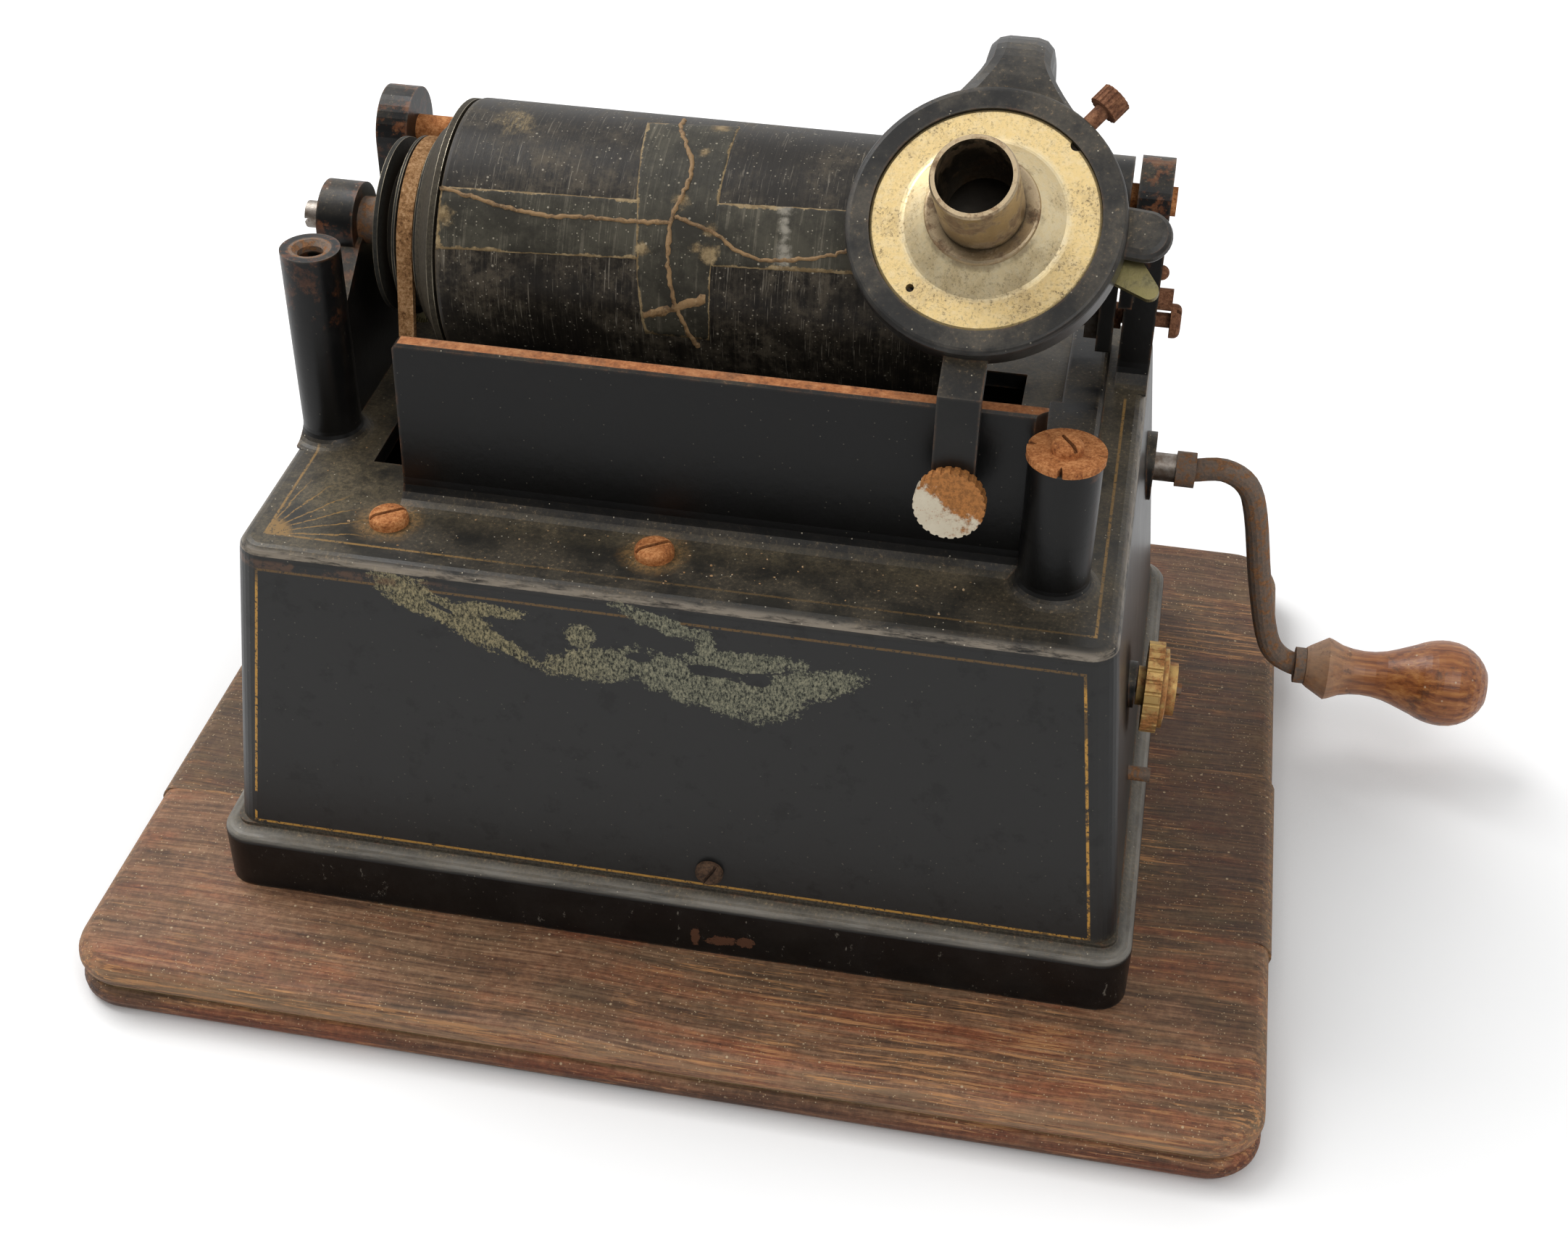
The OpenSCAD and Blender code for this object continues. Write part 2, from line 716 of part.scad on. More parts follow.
module face_screw() {
    wall_y = -wall_w / 2 + 5 * (wall_w - deck_w) / 2 / (body_h - skirt_h);
    color("dimgray")
        translate([face_x, wall_y - 0.1, base_t + skirt_h + 5])
            rotate([90, 0, 0]) {
                rotate([0, 0, 60])
                    slotted_head(3, 1.6, 0.7);
                translate([0, 0, -4])
                    cylinder(h = 4, r = 1.6);
            }
}

module stub_screw() {
    x = wall_x(stub_c[1]);
    color("dimgray") {
        rod_x(x - 2, x + 4.5, stub_c, 1.6);
    }
}

module back_rod() {
    color("silver") {
        rod_x(left_x0 - 1.2, post_x1 + 1.2, rod_c, rod_r);
    }
}

module mandrel_pivot() {
    color("goldenrod")
        difference() {
            rod_x(lug_x0 - 4.5, lug_x0 + 1.5, mandrel_c, 2.9);
            translate([lug_x0 - 5, mandrel_c[0] - 4, mandrel_c[1] - 0.4])
                cube([1.5, 8, 0.8]);
        }
}

module mandrel_bush() {
    color("dimgray")
        difference() {
            rod_x(lug_x0, bush_x1, mandrel_c, bush_r);
            rod_x(lug_x0 + 1.5, bush_x1 + 1, mandrel_c, shaft_r + fit);
            rod_x(lug_x0 - 1, lug_x0 + 1.5, mandrel_c, 2.9);
        }
}

module feed_pivot_screw() {
    color("sienna") {
        rod_x(post_in - gap - 3, post_x1 + 3.3, feed_c, pivot_r);
        at_x(post_x1 + 3.3)
            translate(feed_c)
                rotate([0, 0, 115])
                    slotted_head(3.9, 2.4, 0.9);
    }
}

// Rusty stop pin and small dome screw on the right post's outer face
module post_screws() {
    color("sienna") {
        rod_x(post_x1 - 3, post_x1 + 3.3, post_pin_c, 2.5);
        rod_x(post_x1 - 3, post_x1, post_dome_c, 1.2);
        turned_x(post_x1, post_dome_c, concat([[0, 0]], arc([0, 0], 1.7, 0, 90, 6)));
    }
}

module idler_stud() {
    color("dimgray") {
        rod_x(side_x0, side_x1, idler_c, stud_r);
        rod_x(side_x1, gear_x0 - gap, idler_c, 3.4);
        rod_x(gear_x0 - gap, gear_x1 + 0.1, idler_c, stud_r - 0.4);
    }
}

// Motor side plate with its foot under a deck screw
module motor_plate(x) {
    foot_top = deck_z - wall_t;
    difference() {
        union() {
            at_x(x)
                linear_extrude(plate_t)
                    polygon(concat(arc([plate_y1 - 8, plate_z0 + 8], 8, -90, 0, 4),
                        arc([plate_y1 - 3, plate_z1 - 3], 3, 0, 90, 3),
                        arc([plate_y0 + 3, plate_z1 - 3], 3, 90, 180, 3),
                        arc([plate_y0 + 8, plate_z0 + 8], 8, 180, 270, 4)));
            translate([x + plate_t / 2 - 4, screw_y - 5.5, foot_top - foot_h])
                cube([8, 11, foot_h]);
        }
        for (p = pillars)
            rod_x(x - 1, x + plate_t + 1, p, arbor_r);
        rod_x(x - 1, x + plate_t + 1, barrel_c, pillar_r + fit);
        rod_x(x - 1, x + plate_t + 1, second_c, arbor_r - 0.5 + fit);
        rod_x(x - 1, x + plate_t + 1, drive_c, arbor_r + fit);
        rod_x(x - 1, x + plate_t + 1, governor_c, 1 + fit);
        translate([x + plate_t / 2, screw_y, foot_top - 5])
            cylinder(h = 6, r = 2);
    }
}

module motor_plate_left() {
    color("goldenrod")
        motor_plate(motor_x0);
}

module motor_plate_right() {
    color("goldenrod")
        difference() {
            motor_plate(motor_in1);
            rod_x(motor_in1 - 1, motor_x1 + 1, crank_c, shaft_end_r + fit);
            rod_x(motor_in1 - 1, motor_x1 + 1, knob_c, stud_r);
        }
}
shaft_end_r = 2.4;

module motor_pillars() {
    color("silver")
        for (p = pillars) {
            rod_x(motor_in0, motor_in1, p, pillar_r);
            rod_x(motor_x0, motor_in0, p, arbor_r);
            rod_x(motor_in1, motor_x1, p, arbor_r);
        }
}

module crank_bush() {
    color("silver")
        difference() {
            rod_x(crank_x - wall_t - 4, crank_x + 1.2, crank_c, crank_bush_r);
            rod_x(crank_x - wall_t - 5, crank_x + 3, crank_c, wind_shaft_r + fit);
        }
}
wind_shaft_r = 3.3;

module drive_belt() {
    color([0.35, 0.2, 0.1])
        at_x(belt_x - belt_w / 2)
            linear_extrude(belt_w)
                difference() {
                    polygon(round_two(mandrel_c, pulley_r + gap + belt_t,
                        drive_c, drive_r + gap + belt_t, 24));
                    polygon(round_two(mandrel_c, pulley_r + gap, drive_c, drive_r + gap, 24));
                }
}

module mandrel_shaft() {
    color("silver") {
        rod_x(lug_x0 + 1.6, drum_x1 - 2, mandrel_c, shaft_r);
        gear_x(gear_x0, gear_x1, mandrel_c, feed_mod, pinion_n, 0, shaft_r);
    }
}
drum_x0 = record_x0 - 0.2;
drum_x1 = record_x1 + 1;

module mandrel_pulley() {
    color("gray")
        turned_x(disc_x0, mandrel_c, [[shaft_r, 0], [pulley_r + 1.3, 0], [pulley_r + 1.3, 1],
            [pulley_r - 3, 1.6], [pulley_r - 3, 3.4], [pulley_r + 1.8, 4.2],
            [pulley_r + 1.8, 4.8], [pulley_r, 5.2], [pulley_r, 8.7], [pulley_r + 3, 9.2],
            [pulley_r + 3, 10.2], [shaft_r, 10.2]]);
}

module mandrel_flange() {
    w = flange_x1 - pulley_x1;
    color("silver")
        turned_x(pulley_x1, mandrel_c, [[shaft_r, 0], [flange_r - 6, 0], [flange_r - 5, 1.2],
            [flange_r, w - 1.3], [flange_r, w], [flange_r - 1.2, w], [flange_r - 5.8, 2.4],
            [flange_r - 8, 2], [8, 2], [8, w], [shaft_r, w]]);
}

function bore_at(x) = bore_wide - (bore_wide - bore_narrow) * (x - record_x0) / record_l;

module mandrel_drum() {
    l = drum_x1 - drum_x0;
    r0 = bore_at(drum_x0) - 0.08;
    r1 = bore_at(drum_x1) - 0.08;
    color("silver")
        difference() {
            turned_x(drum_x0, mandrel_c, [[shaft_r, 0.2], [8, 0.2], [8, 3], [r0 - 2.5, 3],
                [r0 - 2.5, 0.2], [r0, 0.2], [r1, l - 0.8], [r1 - 0.8, l], [r1 - 2.2, l],
                [r1 - 2.2, l - 3], [shaft_r + 3, l - 3], [shaft_r + 3, l - 1],
                [shaft_r, l - 1]]);
            turned_x(drum_x0, mandrel_c, [[8, 6], [r0 - 2.5, 6], [r1 - 2.3, l - 6],
                [8, l - 6]]);
        }
}

module record_cylinder() {
    color([0.12, 0.1, 0.09])
        turned_x(record_x0, mandrel_c, [[bore_wide, 0], [record_r - 1.1, 0],
            [record_r - 0.3, 0.5], [record_r, 1.3], [record_r, record_l - 0.6],
            [record_r - 0.6, record_l], [bore_narrow, record_l]]);
}

module idler_gear() {
    color("goldenrod")
        difference() {
            gear_x(gear_x0, gear_x1, idler_c, feed_mod, idler_n, idler_turn, stud_r - 0.4 + fit);
            for (a = [0:72:359])
                at_x(gear_x0 - 1)
                    translate(polar(idler_c, 9, a))
                        cylinder(h = feed_gear_t + 2, r = 2.6);
        }
}

module feed_screw() {
    color("silver")
        difference() {
            union() {
                rod_x(left_in - 4, left_in, feed_c, arbor_r);
                rod_x(left_in + gap, gear_x0, feed_c, feed_r + 1.5);
                rod_x(left_in - 0.1, left_in + gap + 0.1, feed_c, arbor_r);
                rod_x(gear_x0, gear_x1, feed_c, feed_r);
                rod_x(gear_x1, gear_x1 + 3, feed_c, feed_r + 1.5);
                rod_x(gear_x1 + 3, post_in - gap, feed_c, feed_r);
            }
            rod_x(post_in - gap - 3.5, post_in, feed_c, pivot_r + fit);
        }
}

module feed_gear() {
    color("goldenrod") {
        gear_x(gear_x0, gear_x1, feed_c, feed_mod, feed_n, feed_turn, feed_r);
    }
}

module carriage_bush() {
    color("goldenrod") {
        tube_x(sleeve_x0, sleeve_x1, rod_c, carriage_r, rod_r + fit);
    }
}

// Profile of the eye ring as [radius, height] from its face
module eye_ring() {
    rotate_extrude()
        polygon(concat([[ledge_r, eye_low], [eye_r - 1, eye_low], [eye_r, eye_low + 1]],
            [[eye_r, eye_top - 1.2]], arc([eye_r - 1.2, eye_top - 1.2], 1.2, 0, 90, 4),
            [[eye_bore, eye_top], [eye_bore, ledge_top], [ledge_r, ledge_top]]));
}

// Neck from the eye over the record and down to the sleeve
neck_arc_r = 16;
neck_off = -4.7;
neck_s = eye_r - 2.1;
neck_s0 = eye_r - 7.9;
neck_from = eye_tilt + 90;
neck_flare = sqrt((eye_r - 0.5) * (eye_r - 0.5) - neck_s0 * neck_s0) - neck_w;
flare_l = 15;
function eye_point(s, off) = [eye_c[0] + s * cos(eye_tilt) - off * sin(eye_tilt),
    eye_c[1] + s * sin(eye_tilt) + off * cos(eye_tilt)];
// Half width of the neck at a distance along it, counted from the eye's centre
function neck_half(s) = neck_w
    + neck_flare * pow(max(0, 1 - (s - neck_s0) / flare_l), 1.6);
neck_c = polar(eye_point(neck_s, neck_off), neck_arc_r, eye_tilt - 90);
neck_away = norm(rod_c - neck_c);
neck_end = aim(neck_c, rod_c) + acos(neck_arc_r / neck_away);
neck_run = sqrt(neck_away * neck_away - neck_arc_r * neck_arc_r);

// Stations of the neck as [point, angle of its outer side, half width]
neck_line = concat(
    [for (i = [0:4]) let (s = neck_s0 + (neck_s - neck_s0) * i / 5)
        [eye_point(s, neck_off), neck_from, neck_half(s)]],
    [for (i = [0:14]) let (a = neck_from + (neck_end - neck_from) * i / 14)
        [polar(neck_c, neck_arc_r, a), a,
            neck_half(neck_s + neck_arc_r * (neck_from - a) * PI / 180)]],
    [[polar(neck_c, neck_arc_r, neck_end) + neck_run * [sin(neck_end), -cos(neck_end)],
        neck_end, neck_w]]);

// Sweeps a flat bar of half thickness t along stations, its edges rounded by r
module swept(line, t, r) {
    sections = [for (l = line) rounded_section(t, l[2], r, 3)];
    n = len(line);
    m = len(sections[0]);
    points = [for (i = [0:n - 1], s = sections[i])
        [line[i][0][0] + s[0] * cos(line[i][1]), line[i][0][1] + s[0] * sin(line[i][1]), s[1]]];
    walls = [for (i = [0:n - 2], k = [0:m - 1])
        let (a = i * m + k, b = i * m + (k + 1) % m)
        each [[a, b + m, b], [a, a + m, b + m]]];
    ends = [[for (k = [0:m - 1]) k], [for (k = [m - 1:-1:0]) (n - 1) * m + k]];
    polyhedron(points, concat(walls, ends));
}

module neck() {
    at_x(neck_x)
        swept(neck_line, neck_t, neck_t - 0.4);
}

// Arm of the half nut, hanging from the sleeve's right end before the feed screw
module nut_arm() {
    y0 = rod_y - 10.4;
    y1 = feed_c[0] - feed_r - gap - 1.2;
    at_x(sleeve_x1 - 3.8)
        linear_extrude(3.5)
            polygon(concat([[y1, feed_c[1] + 5.5], [rod_y + 4, rod_c[1] - 6.5],
                [rod_y - 7, rod_c[1] - 3], [y0, rod_c[1] - 9]],
                arc([y0 + 2.2, feed_c[1] - 2.6], 2.2, 180, 270, 4),
                arc([y1 - 1.4, feed_c[1] - 3.4], 1.4, 270, 360, 3)));
}

// Front tab from the eye's lower edge down before the guide wall
tab_lean = 7;
tab_drop = 27;
screw_drop = 20.6;
tab_top = [guide_y - 5, mandrel_c[1] + 3.1];
tab_low = polar(tab_top, tab_drop, -90 - tab_lean);
screw_at = polar(tab_top, screw_drop, -90 - tab_lean);

module front_tab() {
    s = eye_r - 1.5;
    a = [eye_c[0] - s * cos(eye_tilt) - (eye_low + 1.6) * sin(eye_tilt),
        eye_c[1] - s * sin(eye_tilt) + (eye_low + 1.6) * cos(eye_tilt)];
    side = [cos(aim(tab_low, tab_top) - 90), sin(aim(tab_low, tab_top) - 90)] * tab_t / 2;
    rise = [cos(aim(tab_top, a) - 90), sin(aim(tab_top, a) - 90)] * tab_t / 2;
    translate([tab_x - tab_w / 2, 0, 0])
        rotate([90, 0, 90])
            linear_extrude(tab_w)
                polygon([tab_low - side, tab_low + side, tab_top + side, a + rise,
                    a - rise, tab_top - side * 1.4 - [0, -0.6]]);
}
tab_x = eye_x - 0.2;

// Dished finger rest beside the eye, kept off the record
module finger_rest() {
    hull()
        for (p = [[eye_r - 3, 1], [eye_r + 3.2, 0.3]])
            translate([p[0], p[1], eye_low + gap + 1.9])
                rounded_disc(5.1, 1.9);
}

module rounded_disc(r, e) {
    rotate_extrude($fn = 32)
        polygon(concat([[0, -e]], arc([r - e, 0], e, -90, 90, 6), [[0, e]]));
}

module arm_casting() {
    color([0.16, 0.16, 0.16])
        difference() {
            union() {
                in_eye() {
                    eye_ring();
                    finger_rest();
                }
                neck();
                rod_x(sleeve_x0, sleeve_x1, rod_c, sleeve_r);
                nut_arm();
                front_tab();
            }
            rod_x(sleeve_x0 - 1, sleeve_x1 + 1, rod_c, carriage_r + fit);
            in_eye() {
                translate([0, 0, ledge_top])
                    cylinder(h = 12, r = eye_bore);
                translate([0, 0, eye_low - 6])
                    cylinder(h = 10, r = ledge_r);
                rotate([0, 0, -set_angle])
                    translate([0, 0, set_z])
                        rotate([-90, 0, 0])
                            cylinder(h = eye_r + 4, r = set_r);
                translate([clamp_p[0], clamp_p[1], eye_low - 1])
                    cylinder(h = 4, r = clamp_pin_r);
            }
            tab_screw_frame()
                translate([0, 0, -tab_t - 3])
                    cylinder(h = tab_t + 8, r = adjust_r + fit);
        }
}
set_angle = 38;
set_z = eye_low + 2.9;
set_r = 1.6;
clamp_p = [24.3, -3.4];
clamp_pin_r = 1.2;
adjust_r = 1.9;

// Frame of the adjusting screw: Z points forward out of the tab
module tab_screw_frame() {
    translate([tab_x, screw_at[0], screw_at[1]])
        rotate([aim(tab_low, tab_top), 0, 0])
            children();
}

// Nut segment that rests on the feed screw, soldered to its arm
module half_nut() {
    x0 = sleeve_x1 - 3.8;
    arm_y1 = feed_c[0] - feed_r - gap - 1.2;
    color("goldenrod")
        difference() {
            translate([x0 - 3, arm_y1, feed_c[1] - 4])
                cube([6.5, 2.6, 8]);
            rod_x(x0 - 5, x0 + 8, feed_c, feed_r + gap);
        }
}

module set_screw() {
    color("sienna")
        in_eye()
            rotate([0, 0, -set_angle])
                translate([0, 0, set_z])
                    rotate([-90, 0, 0]) {
                        translate([0, 0, eye_bore + 0.2])
                            cylinder(h = eye_r + 4.2 - eye_bore, r = set_r);
                        translate([0, 0, eye_r + 4.2])
                            difference() {
                                cylinder(h = 3.8, r = 3.2);
                                for (a = [0:20:359])
                                    rotate([0, 0, a])
                                        translate([3.3, 0, -1])
                                            cylinder(h = 6, r = 0.3, $fn = 16);
                            }
                    }
}

// Stack inside the eye, from the ledge up
cup_h = 3.1;
lip_t = 0.9;
gasket_t = 0.7;
glass_t = 0.3;
stack_r = 18.9;
seat_z = ledge_top + lip_t;

module reproducer_body() {
    color("goldenrod")
        in_eye()
            difference() {
                union() {
                    translate([0, 0, ledge_top])
                        difference() {
                            cylinder(h = cup_h, r = eye_bore - 0.1);
                            translate([0, 0, lip_t])
                                cylinder(h = cup_h, r = stack_r + 0.1);
                            translate([0, 0, -1])
                                cylinder(h = cup_h, r = 15.5);
                        }
                    for (s = [-5.5, 3.5])
                        translate([s, hinge_s - 1.6, hinge_z - 1])
                            cube([2, 3.2, ledge_top + 0.4 - hinge_z + 1]);
                }
                translate([-8, hinge_s, hinge_z])
                    rotate([0, 90, 0])
                        cylinder(h = 16, r = 0.6);
            }
}
hinge_s = 16.9;
hinge_z = eye_low - 1.1;

module lower_gasket() {
    color("black")
        in_eye()
            translate([0, 0, seat_z])
                difference() {
                    cylinder(h = gasket_t, r = stack_r);
                    translate([0, 0, -1])
                        cylinder(h = 3, r = stack_r - 2.6);
                }
}

module diaphragm() {
    color("lightblue")
        in_eye()
            translate([0, 0, seat_z + gasket_t])
                cylinder(h = glass_t, r = stack_r);
}

module upper_gasket() {
    color("black")
        in_eye()
            translate([0, 0, seat_z + gasket_t + glass_t])
                difference() {
                    cylinder(h = gasket_t, r = stack_r);
                    translate([0, 0, -1])
                        cylinder(h = 3, r = stack_r - 2.6);
                }
}

// Spun plate: flat rim, domed middle and a collar for the tube
module reproducer_plate() {
    z0 = ledge_top + cup_h;
    low = seat_z + 2 * gasket_t + glass_t;
    color("khaki")
        in_eye()
            difference() {
                rotate_extrude()
                    polygon(concat([[stack_r - 2.6, low], [stack_r, low], [stack_r, z0],
                        [eye_bore - 0.1, z0], [eye_bore - 0.1, 0], [eye_bore - 0.6, 0.3],
                        [16.4, 0.3]], arc([16.4, 2.3], 2, 270, 225, 3),
                        [[tube_r + 2.2, 4.4], [tube_r, 4.4], [tube_r, 3],
                        [tube_r + 1.6, 2.6], [15.2, -0.6]]));
                rotate([0, 0, -44])
                    translate([0, eye_bore, -3])
                        cylinder(h = 6, r = 1.2);
                rotate([0, 0, -220])
                    translate([0, 19.2, -6])
                        cylinder(h = 9, r = 0.8);
            }
}

module horn_tube() {
    t = 1.1;
    color("khaki")
        in_eye()
            rotate_extrude()
                polygon(concat([[tube_r - t, 3]], [[tube_r, 3], [tube_r, 4.4]],
                    [[tube_r + 2.4, 4.4]], arc([tube_r + 2, 5.2], 0.8, -60, 110, 5),
                    [[tube_r, 5.8], [tube_r, tube_h - 0.6], [tube_r - 0.3, tube_h],
                    [tube_r - t, tube_h]]));
}

module reproducer_weight() {
    top = hinge_z + 0.9;
    color("silver")
        in_eye()
            difference() {
                union() {
                    translate([0, -1, top - 2.1])
                        cylinder(h = 2.1, r = 15.8);
                    translate([-3, 9, top - 2.1])
                        cube([6, hinge_s - 9, 2.1]);
                    translate([-3.2, hinge_s, hinge_z])
                        rotate([0, 90, 0])
                            cylinder(h = 6.4, r = 1.1);
                }
                translate([-8, hinge_s, hinge_z])
                    rotate([0, 90, 0])
                        cylinder(h = 16, r = 0.6 + fit);
                translate([-1.6, -8, top - 3])
                    cube([3.2, 14, 4]);
            }
}

module stylus_bar() {
    tip = eye_d - record_r - gap;
    top = hinge_z + 0.9;
    color("dimgray")
        in_eye() {
            translate([-1.2, -8, top - 1.6])
                cube([2.4, 14, 1.2]);
            translate([0, 0, -tip])
                cylinder(h = tip + top - 1.6, r1 = 0.4, r2 = 1);
        }
}

module adjusting_screw() {
    disc_t = 3;
    color("silver")
        tab_screw_frame() {
            translate([0, 0, -tab_t / 2 - 0.8])
                cylinder(h = tab_t + 2, r = adjust_r);
            translate([0, 0, tab_t / 2 + gap])
                difference() {
                    cylinder(h = disc_t, r = 7);
                    for (a = [0:15:359])
                        rotate([0, 0, a])
                            translate([7.1, 0, -1])
                                cylinder(h = disc_t + 2, r = 0.4, $fn = 16);
                }
        }
}

// Brass lever under the eye that clamps the reproducer
module clamp_lever() {
    color([0.55, 0.5, 0.25])
        in_eye()
            difference() {
                translate([0, 0, eye_low - 0.1 - 1.6])
                    linear_extrude(1.6)
                        polygon(round_two(clamp_p, 4.3, clamp_p + [7.5, -5.9], 1.8, 10));
                translate([clamp_p[0], clamp_p[1], eye_low - 3])
                    cylinder(h = 4, r = clamp_pin_r + fit);
            }
}

module clamp_screw() {
    color("dimgray")
        in_eye()
            translate([clamp_p[0], clamp_p[1], 0]) {
                translate([0, 0, eye_low - 1.8])
                    cylinder(h = 4.8, r = clamp_pin_r);
                translate([0, 0, eye_low - 1.8])
                    mirror([0, 0, 1])
                        slotted_head(2.2, 1, 0.5);
            }
}

module speed_knob() {
    x0 = knob_x + 1 + gap;
    color([0.3, 0.25, 0.15])
        difference() {
            turned_x(x0, knob_c, [[0, 0], [4.2, 0], [4.2, 1.6], [knob_r, 1.6], [knob_r, 5],
                [knob_r - 1.2, 5], [knob_r - 1.2, 6], [5.6, 6.4], [5.6, 8.2], [0, 8.2]]);
            rod_x(x0 - 1, x0 + 10, knob_c, stud_r - 0.4);
            for (a = [0:15:359])
                at_x(x0 + 1)
                    translate(polar(knob_c, knob_r + 0.15, a))
                        cylinder(h = 4.6, r = 0.5, $fn = 16);
        }
}

module speed_rod() {
    x1 = knob_x + 1 + gap + 9.4;
    color("silver")
        difference() {
            rod_x(disc_face + gap, x1, knob_c, stud_r - 0.4 - fit);
            translate([x1 - 1, knob_c[0] - 3, knob_c[1] - 0.3])
                cube([2, 6, 0.6]);
        }
}
disc_face = great_x0 + 1;

module winding_shaft() {
    color("silver") {
        rod_x(motor_in1 + 0.2, motor_x1 + 0.2, crank_c, shaft_end_r);
        rod_x(motor_x1 + 0.2, crank_x0, crank_c, wind_shaft_r);
        gear_x(motor_x1 + 0.6, motor_x1 + 4.4, crank_c, wind_mod, wind_n, 0, wind_shaft_r);
    }
}

// Crank rod: collar on the shaft, swan neck, ferrule and pin for the grip
crank_x0 = crank_x + 6.3;
crank_path = [[4, 0], [11, -1], [16.8, 2.4], [19.9, 10.6], [23.4, 28.6], [27.4, 44.7],
    [30.8, 50.5], [35.6, crank_throw]];

// Smooth curve through points a, b, c, d, from b to c
function spline(a, b, c, d, t) = 0.5 * (2 * b + (c - a) * t
    + (2 * a - 5 * b + 4 * c - d) * t * t + (3 * b - a - 3 * c + d) * t * t * t);

// Round rod bent in the X-Z plane along a list of [x, down] points
module bent_rod(path, r, sides, steps) {
    last = len(path) - 1;
    line = concat([path[0]], [for (i = [0:last - 1], k = [1:steps])
        spline(path[max(i - 1, 0)], path[i], path[i + 1], path[min(i + 2, last)], k / steps)]);
    n = len(line);
    function along(i) = let (d = line[min(i + 1, n - 1)] - line[max(i - 1, 0)]) d / norm(d);
    points = [for (i = [0:n - 1], k = [0:sides - 1])
        let (a = 360 * k / sides, t = i == 0 || i == n - 1 ? [1, 0] : along(i))
        [line[i][0] - r * cos(a) * t[1], r * sin(a), -line[i][1] - r * cos(a) * t[0]]];
    walls = [for (i = [0:n - 2], k = [0:sides - 1])
        let (a = i * sides + k, b = i * sides + (k + 1) % sides)
        each [[a, b + sides, b], [a, a + sides, b + sides]]];
    ends = [[for (k = [0:sides - 1]) k], [for (k = [sides - 1:-1:0]) (n - 1) * sides + k]];
    polyhedron(points, concat(walls, ends));
}

module crank_rod() {
    pin_x = crank_path[7][0];
    color([0.25, 0.2, 0.17])
        translate([crank_x0, crank_c[0], crank_c[1]]) {
            rotate([0, 90, 0])
                cylinder(h = 4.5, r = 4.15);
            bent_rod(crank_path, crank_r, 16, 4);
            translate([pin_x - 0.3, 0, -crank_throw]) {
                rotate([0, 90, 0])
                    cylinder(h = 2.5, r = 4.4);
                rotate([0, 90, 0])
                    cylinder(h = 2.1 + grip_l, r = grip_pin_r);
            }
        }
}

module crank_grip() {
    x0 = crank_x0 + crank_path[7][0] + 2.3;
    k = grip_l / 42.8;
    bore = grip_pin_r + fit;
    waist = grip_r - 5;
    color("saddlebrown")
        turned_x(x0, [crank_c[0], crank_c[1] - crank_throw], concat([[bore, 0],
            [4.6, 0], [5.2, 0.8 * k], [7.6, 5 * k], [7.3, 6 * k]],
            arc([waist + 20, 14 * k], 20, 196, 158, 5),
            arc([grip_r - 15.7, 33.3 * k], 15.7, -28, 0, 5),
            arc([grip_r - 10.4, 33.3 * k], 10.4, 12, 66, 5),
            [[bore, grip_l - 0.1]]));
}
grip_pin_r = 1.8;

module barrel_arbor() {
    color("silver") {
        rod_x(motor_x0, motor_x1 + 4.4, barrel_c, pillar_r);
        gear_x(motor_x1 + 0.6, motor_x1 + 4.4, barrel_c, wind_mod, wind_wheel_n, wind_turn,
            pillar_r);
    }
}

module spring_barrel() {
    color("goldenrod")
        difference() {
            union() {
                rod_x(barrel_x0, great_x0, barrel_c, barrel_r);
                gear_x(great_x0, great_x0 + wheel_t, barrel_c, great_mod, great_n, 0,
                    pillar_r + fit);
                rod_x(barrel_x0 - 2, barrel_x0, barrel_c, 7);
                rod_x(great_x0 + wheel_t, great_x0 + wheel_t + 1.5, barrel_c, 7);
            }
            rod_x(barrel_x0 - 3, great_x0 + 6, barrel_c, pillar_r + fit);
        }
}

module second_arbor() {
    color("silver") {
        rod_x(motor_x0, motor_x1, second_c, arbor_r - 0.5);
        gear_x(great_x0 - 0.5, great_x0 + wheel_t + 0.5, second_c, great_mod, leaf_n, leaf_turn,
            arbor_r - 0.5);
        rod_x(motor_in0 + 0.4, second_x0, second_c, 2.4);
        rod_x(second_x0, great_x0 - 0.5, second_c, 2.8);
        gear_x(second_x0, second_x0 + wheel_t, second_c, wheel_mod, wheel_n, 0, 2.8);
        rod_x(great_x0 + wheel_t + 0.5, motor_in1 - 0.4, second_c, 2.4);
    }
}

module pulley_arbor() {
    color("silver") {
        rod_x(motor_x0 - 7.6, motor_x1, drive_c, arbor_r);
        gear_x(second_x0 - 1, second_x0 + wheel_t + 1, drive_c, wheel_mod, drive_n, drive_turn,
            arbor_r);
        gear_x(third_x0, third_x0 + wheel_t, drive_c, wheel_mod, wheel_n, 0, arbor_r);
    }
}

module motor_pulley() {
    w = belt_w + 2.8;
    color("goldenrod")
        turned_x(belt_x - w / 2, drive_c, [[arbor_r, 0], [drive_r + 2.3, 0],
            [drive_r + 2.3, 0.8], [drive_r, 1.2], [drive_r, w - 1.2], [drive_r + 2.3, w - 0.8],
            [drive_r + 2.3, w], [6, w], [6, w + 0.7], [arbor_r, w + 0.7]]);
}

module governor_spindle() {
    color("silver") {
        rod_x(motor_x0, motor_x1, governor_c, 1);
        rod_x(motor_in0 + 0.4, motor_in1 - 0.4, governor_c, 1.5);
        gear_x(third_x0 - 1, third_x0 + wheel_t + 1, governor_c, wheel_mod, leaf_n,
            governor_turn, 1.5);
        rod_x(disc_face - 1.5, disc_face, governor_c, 11);
    }
}

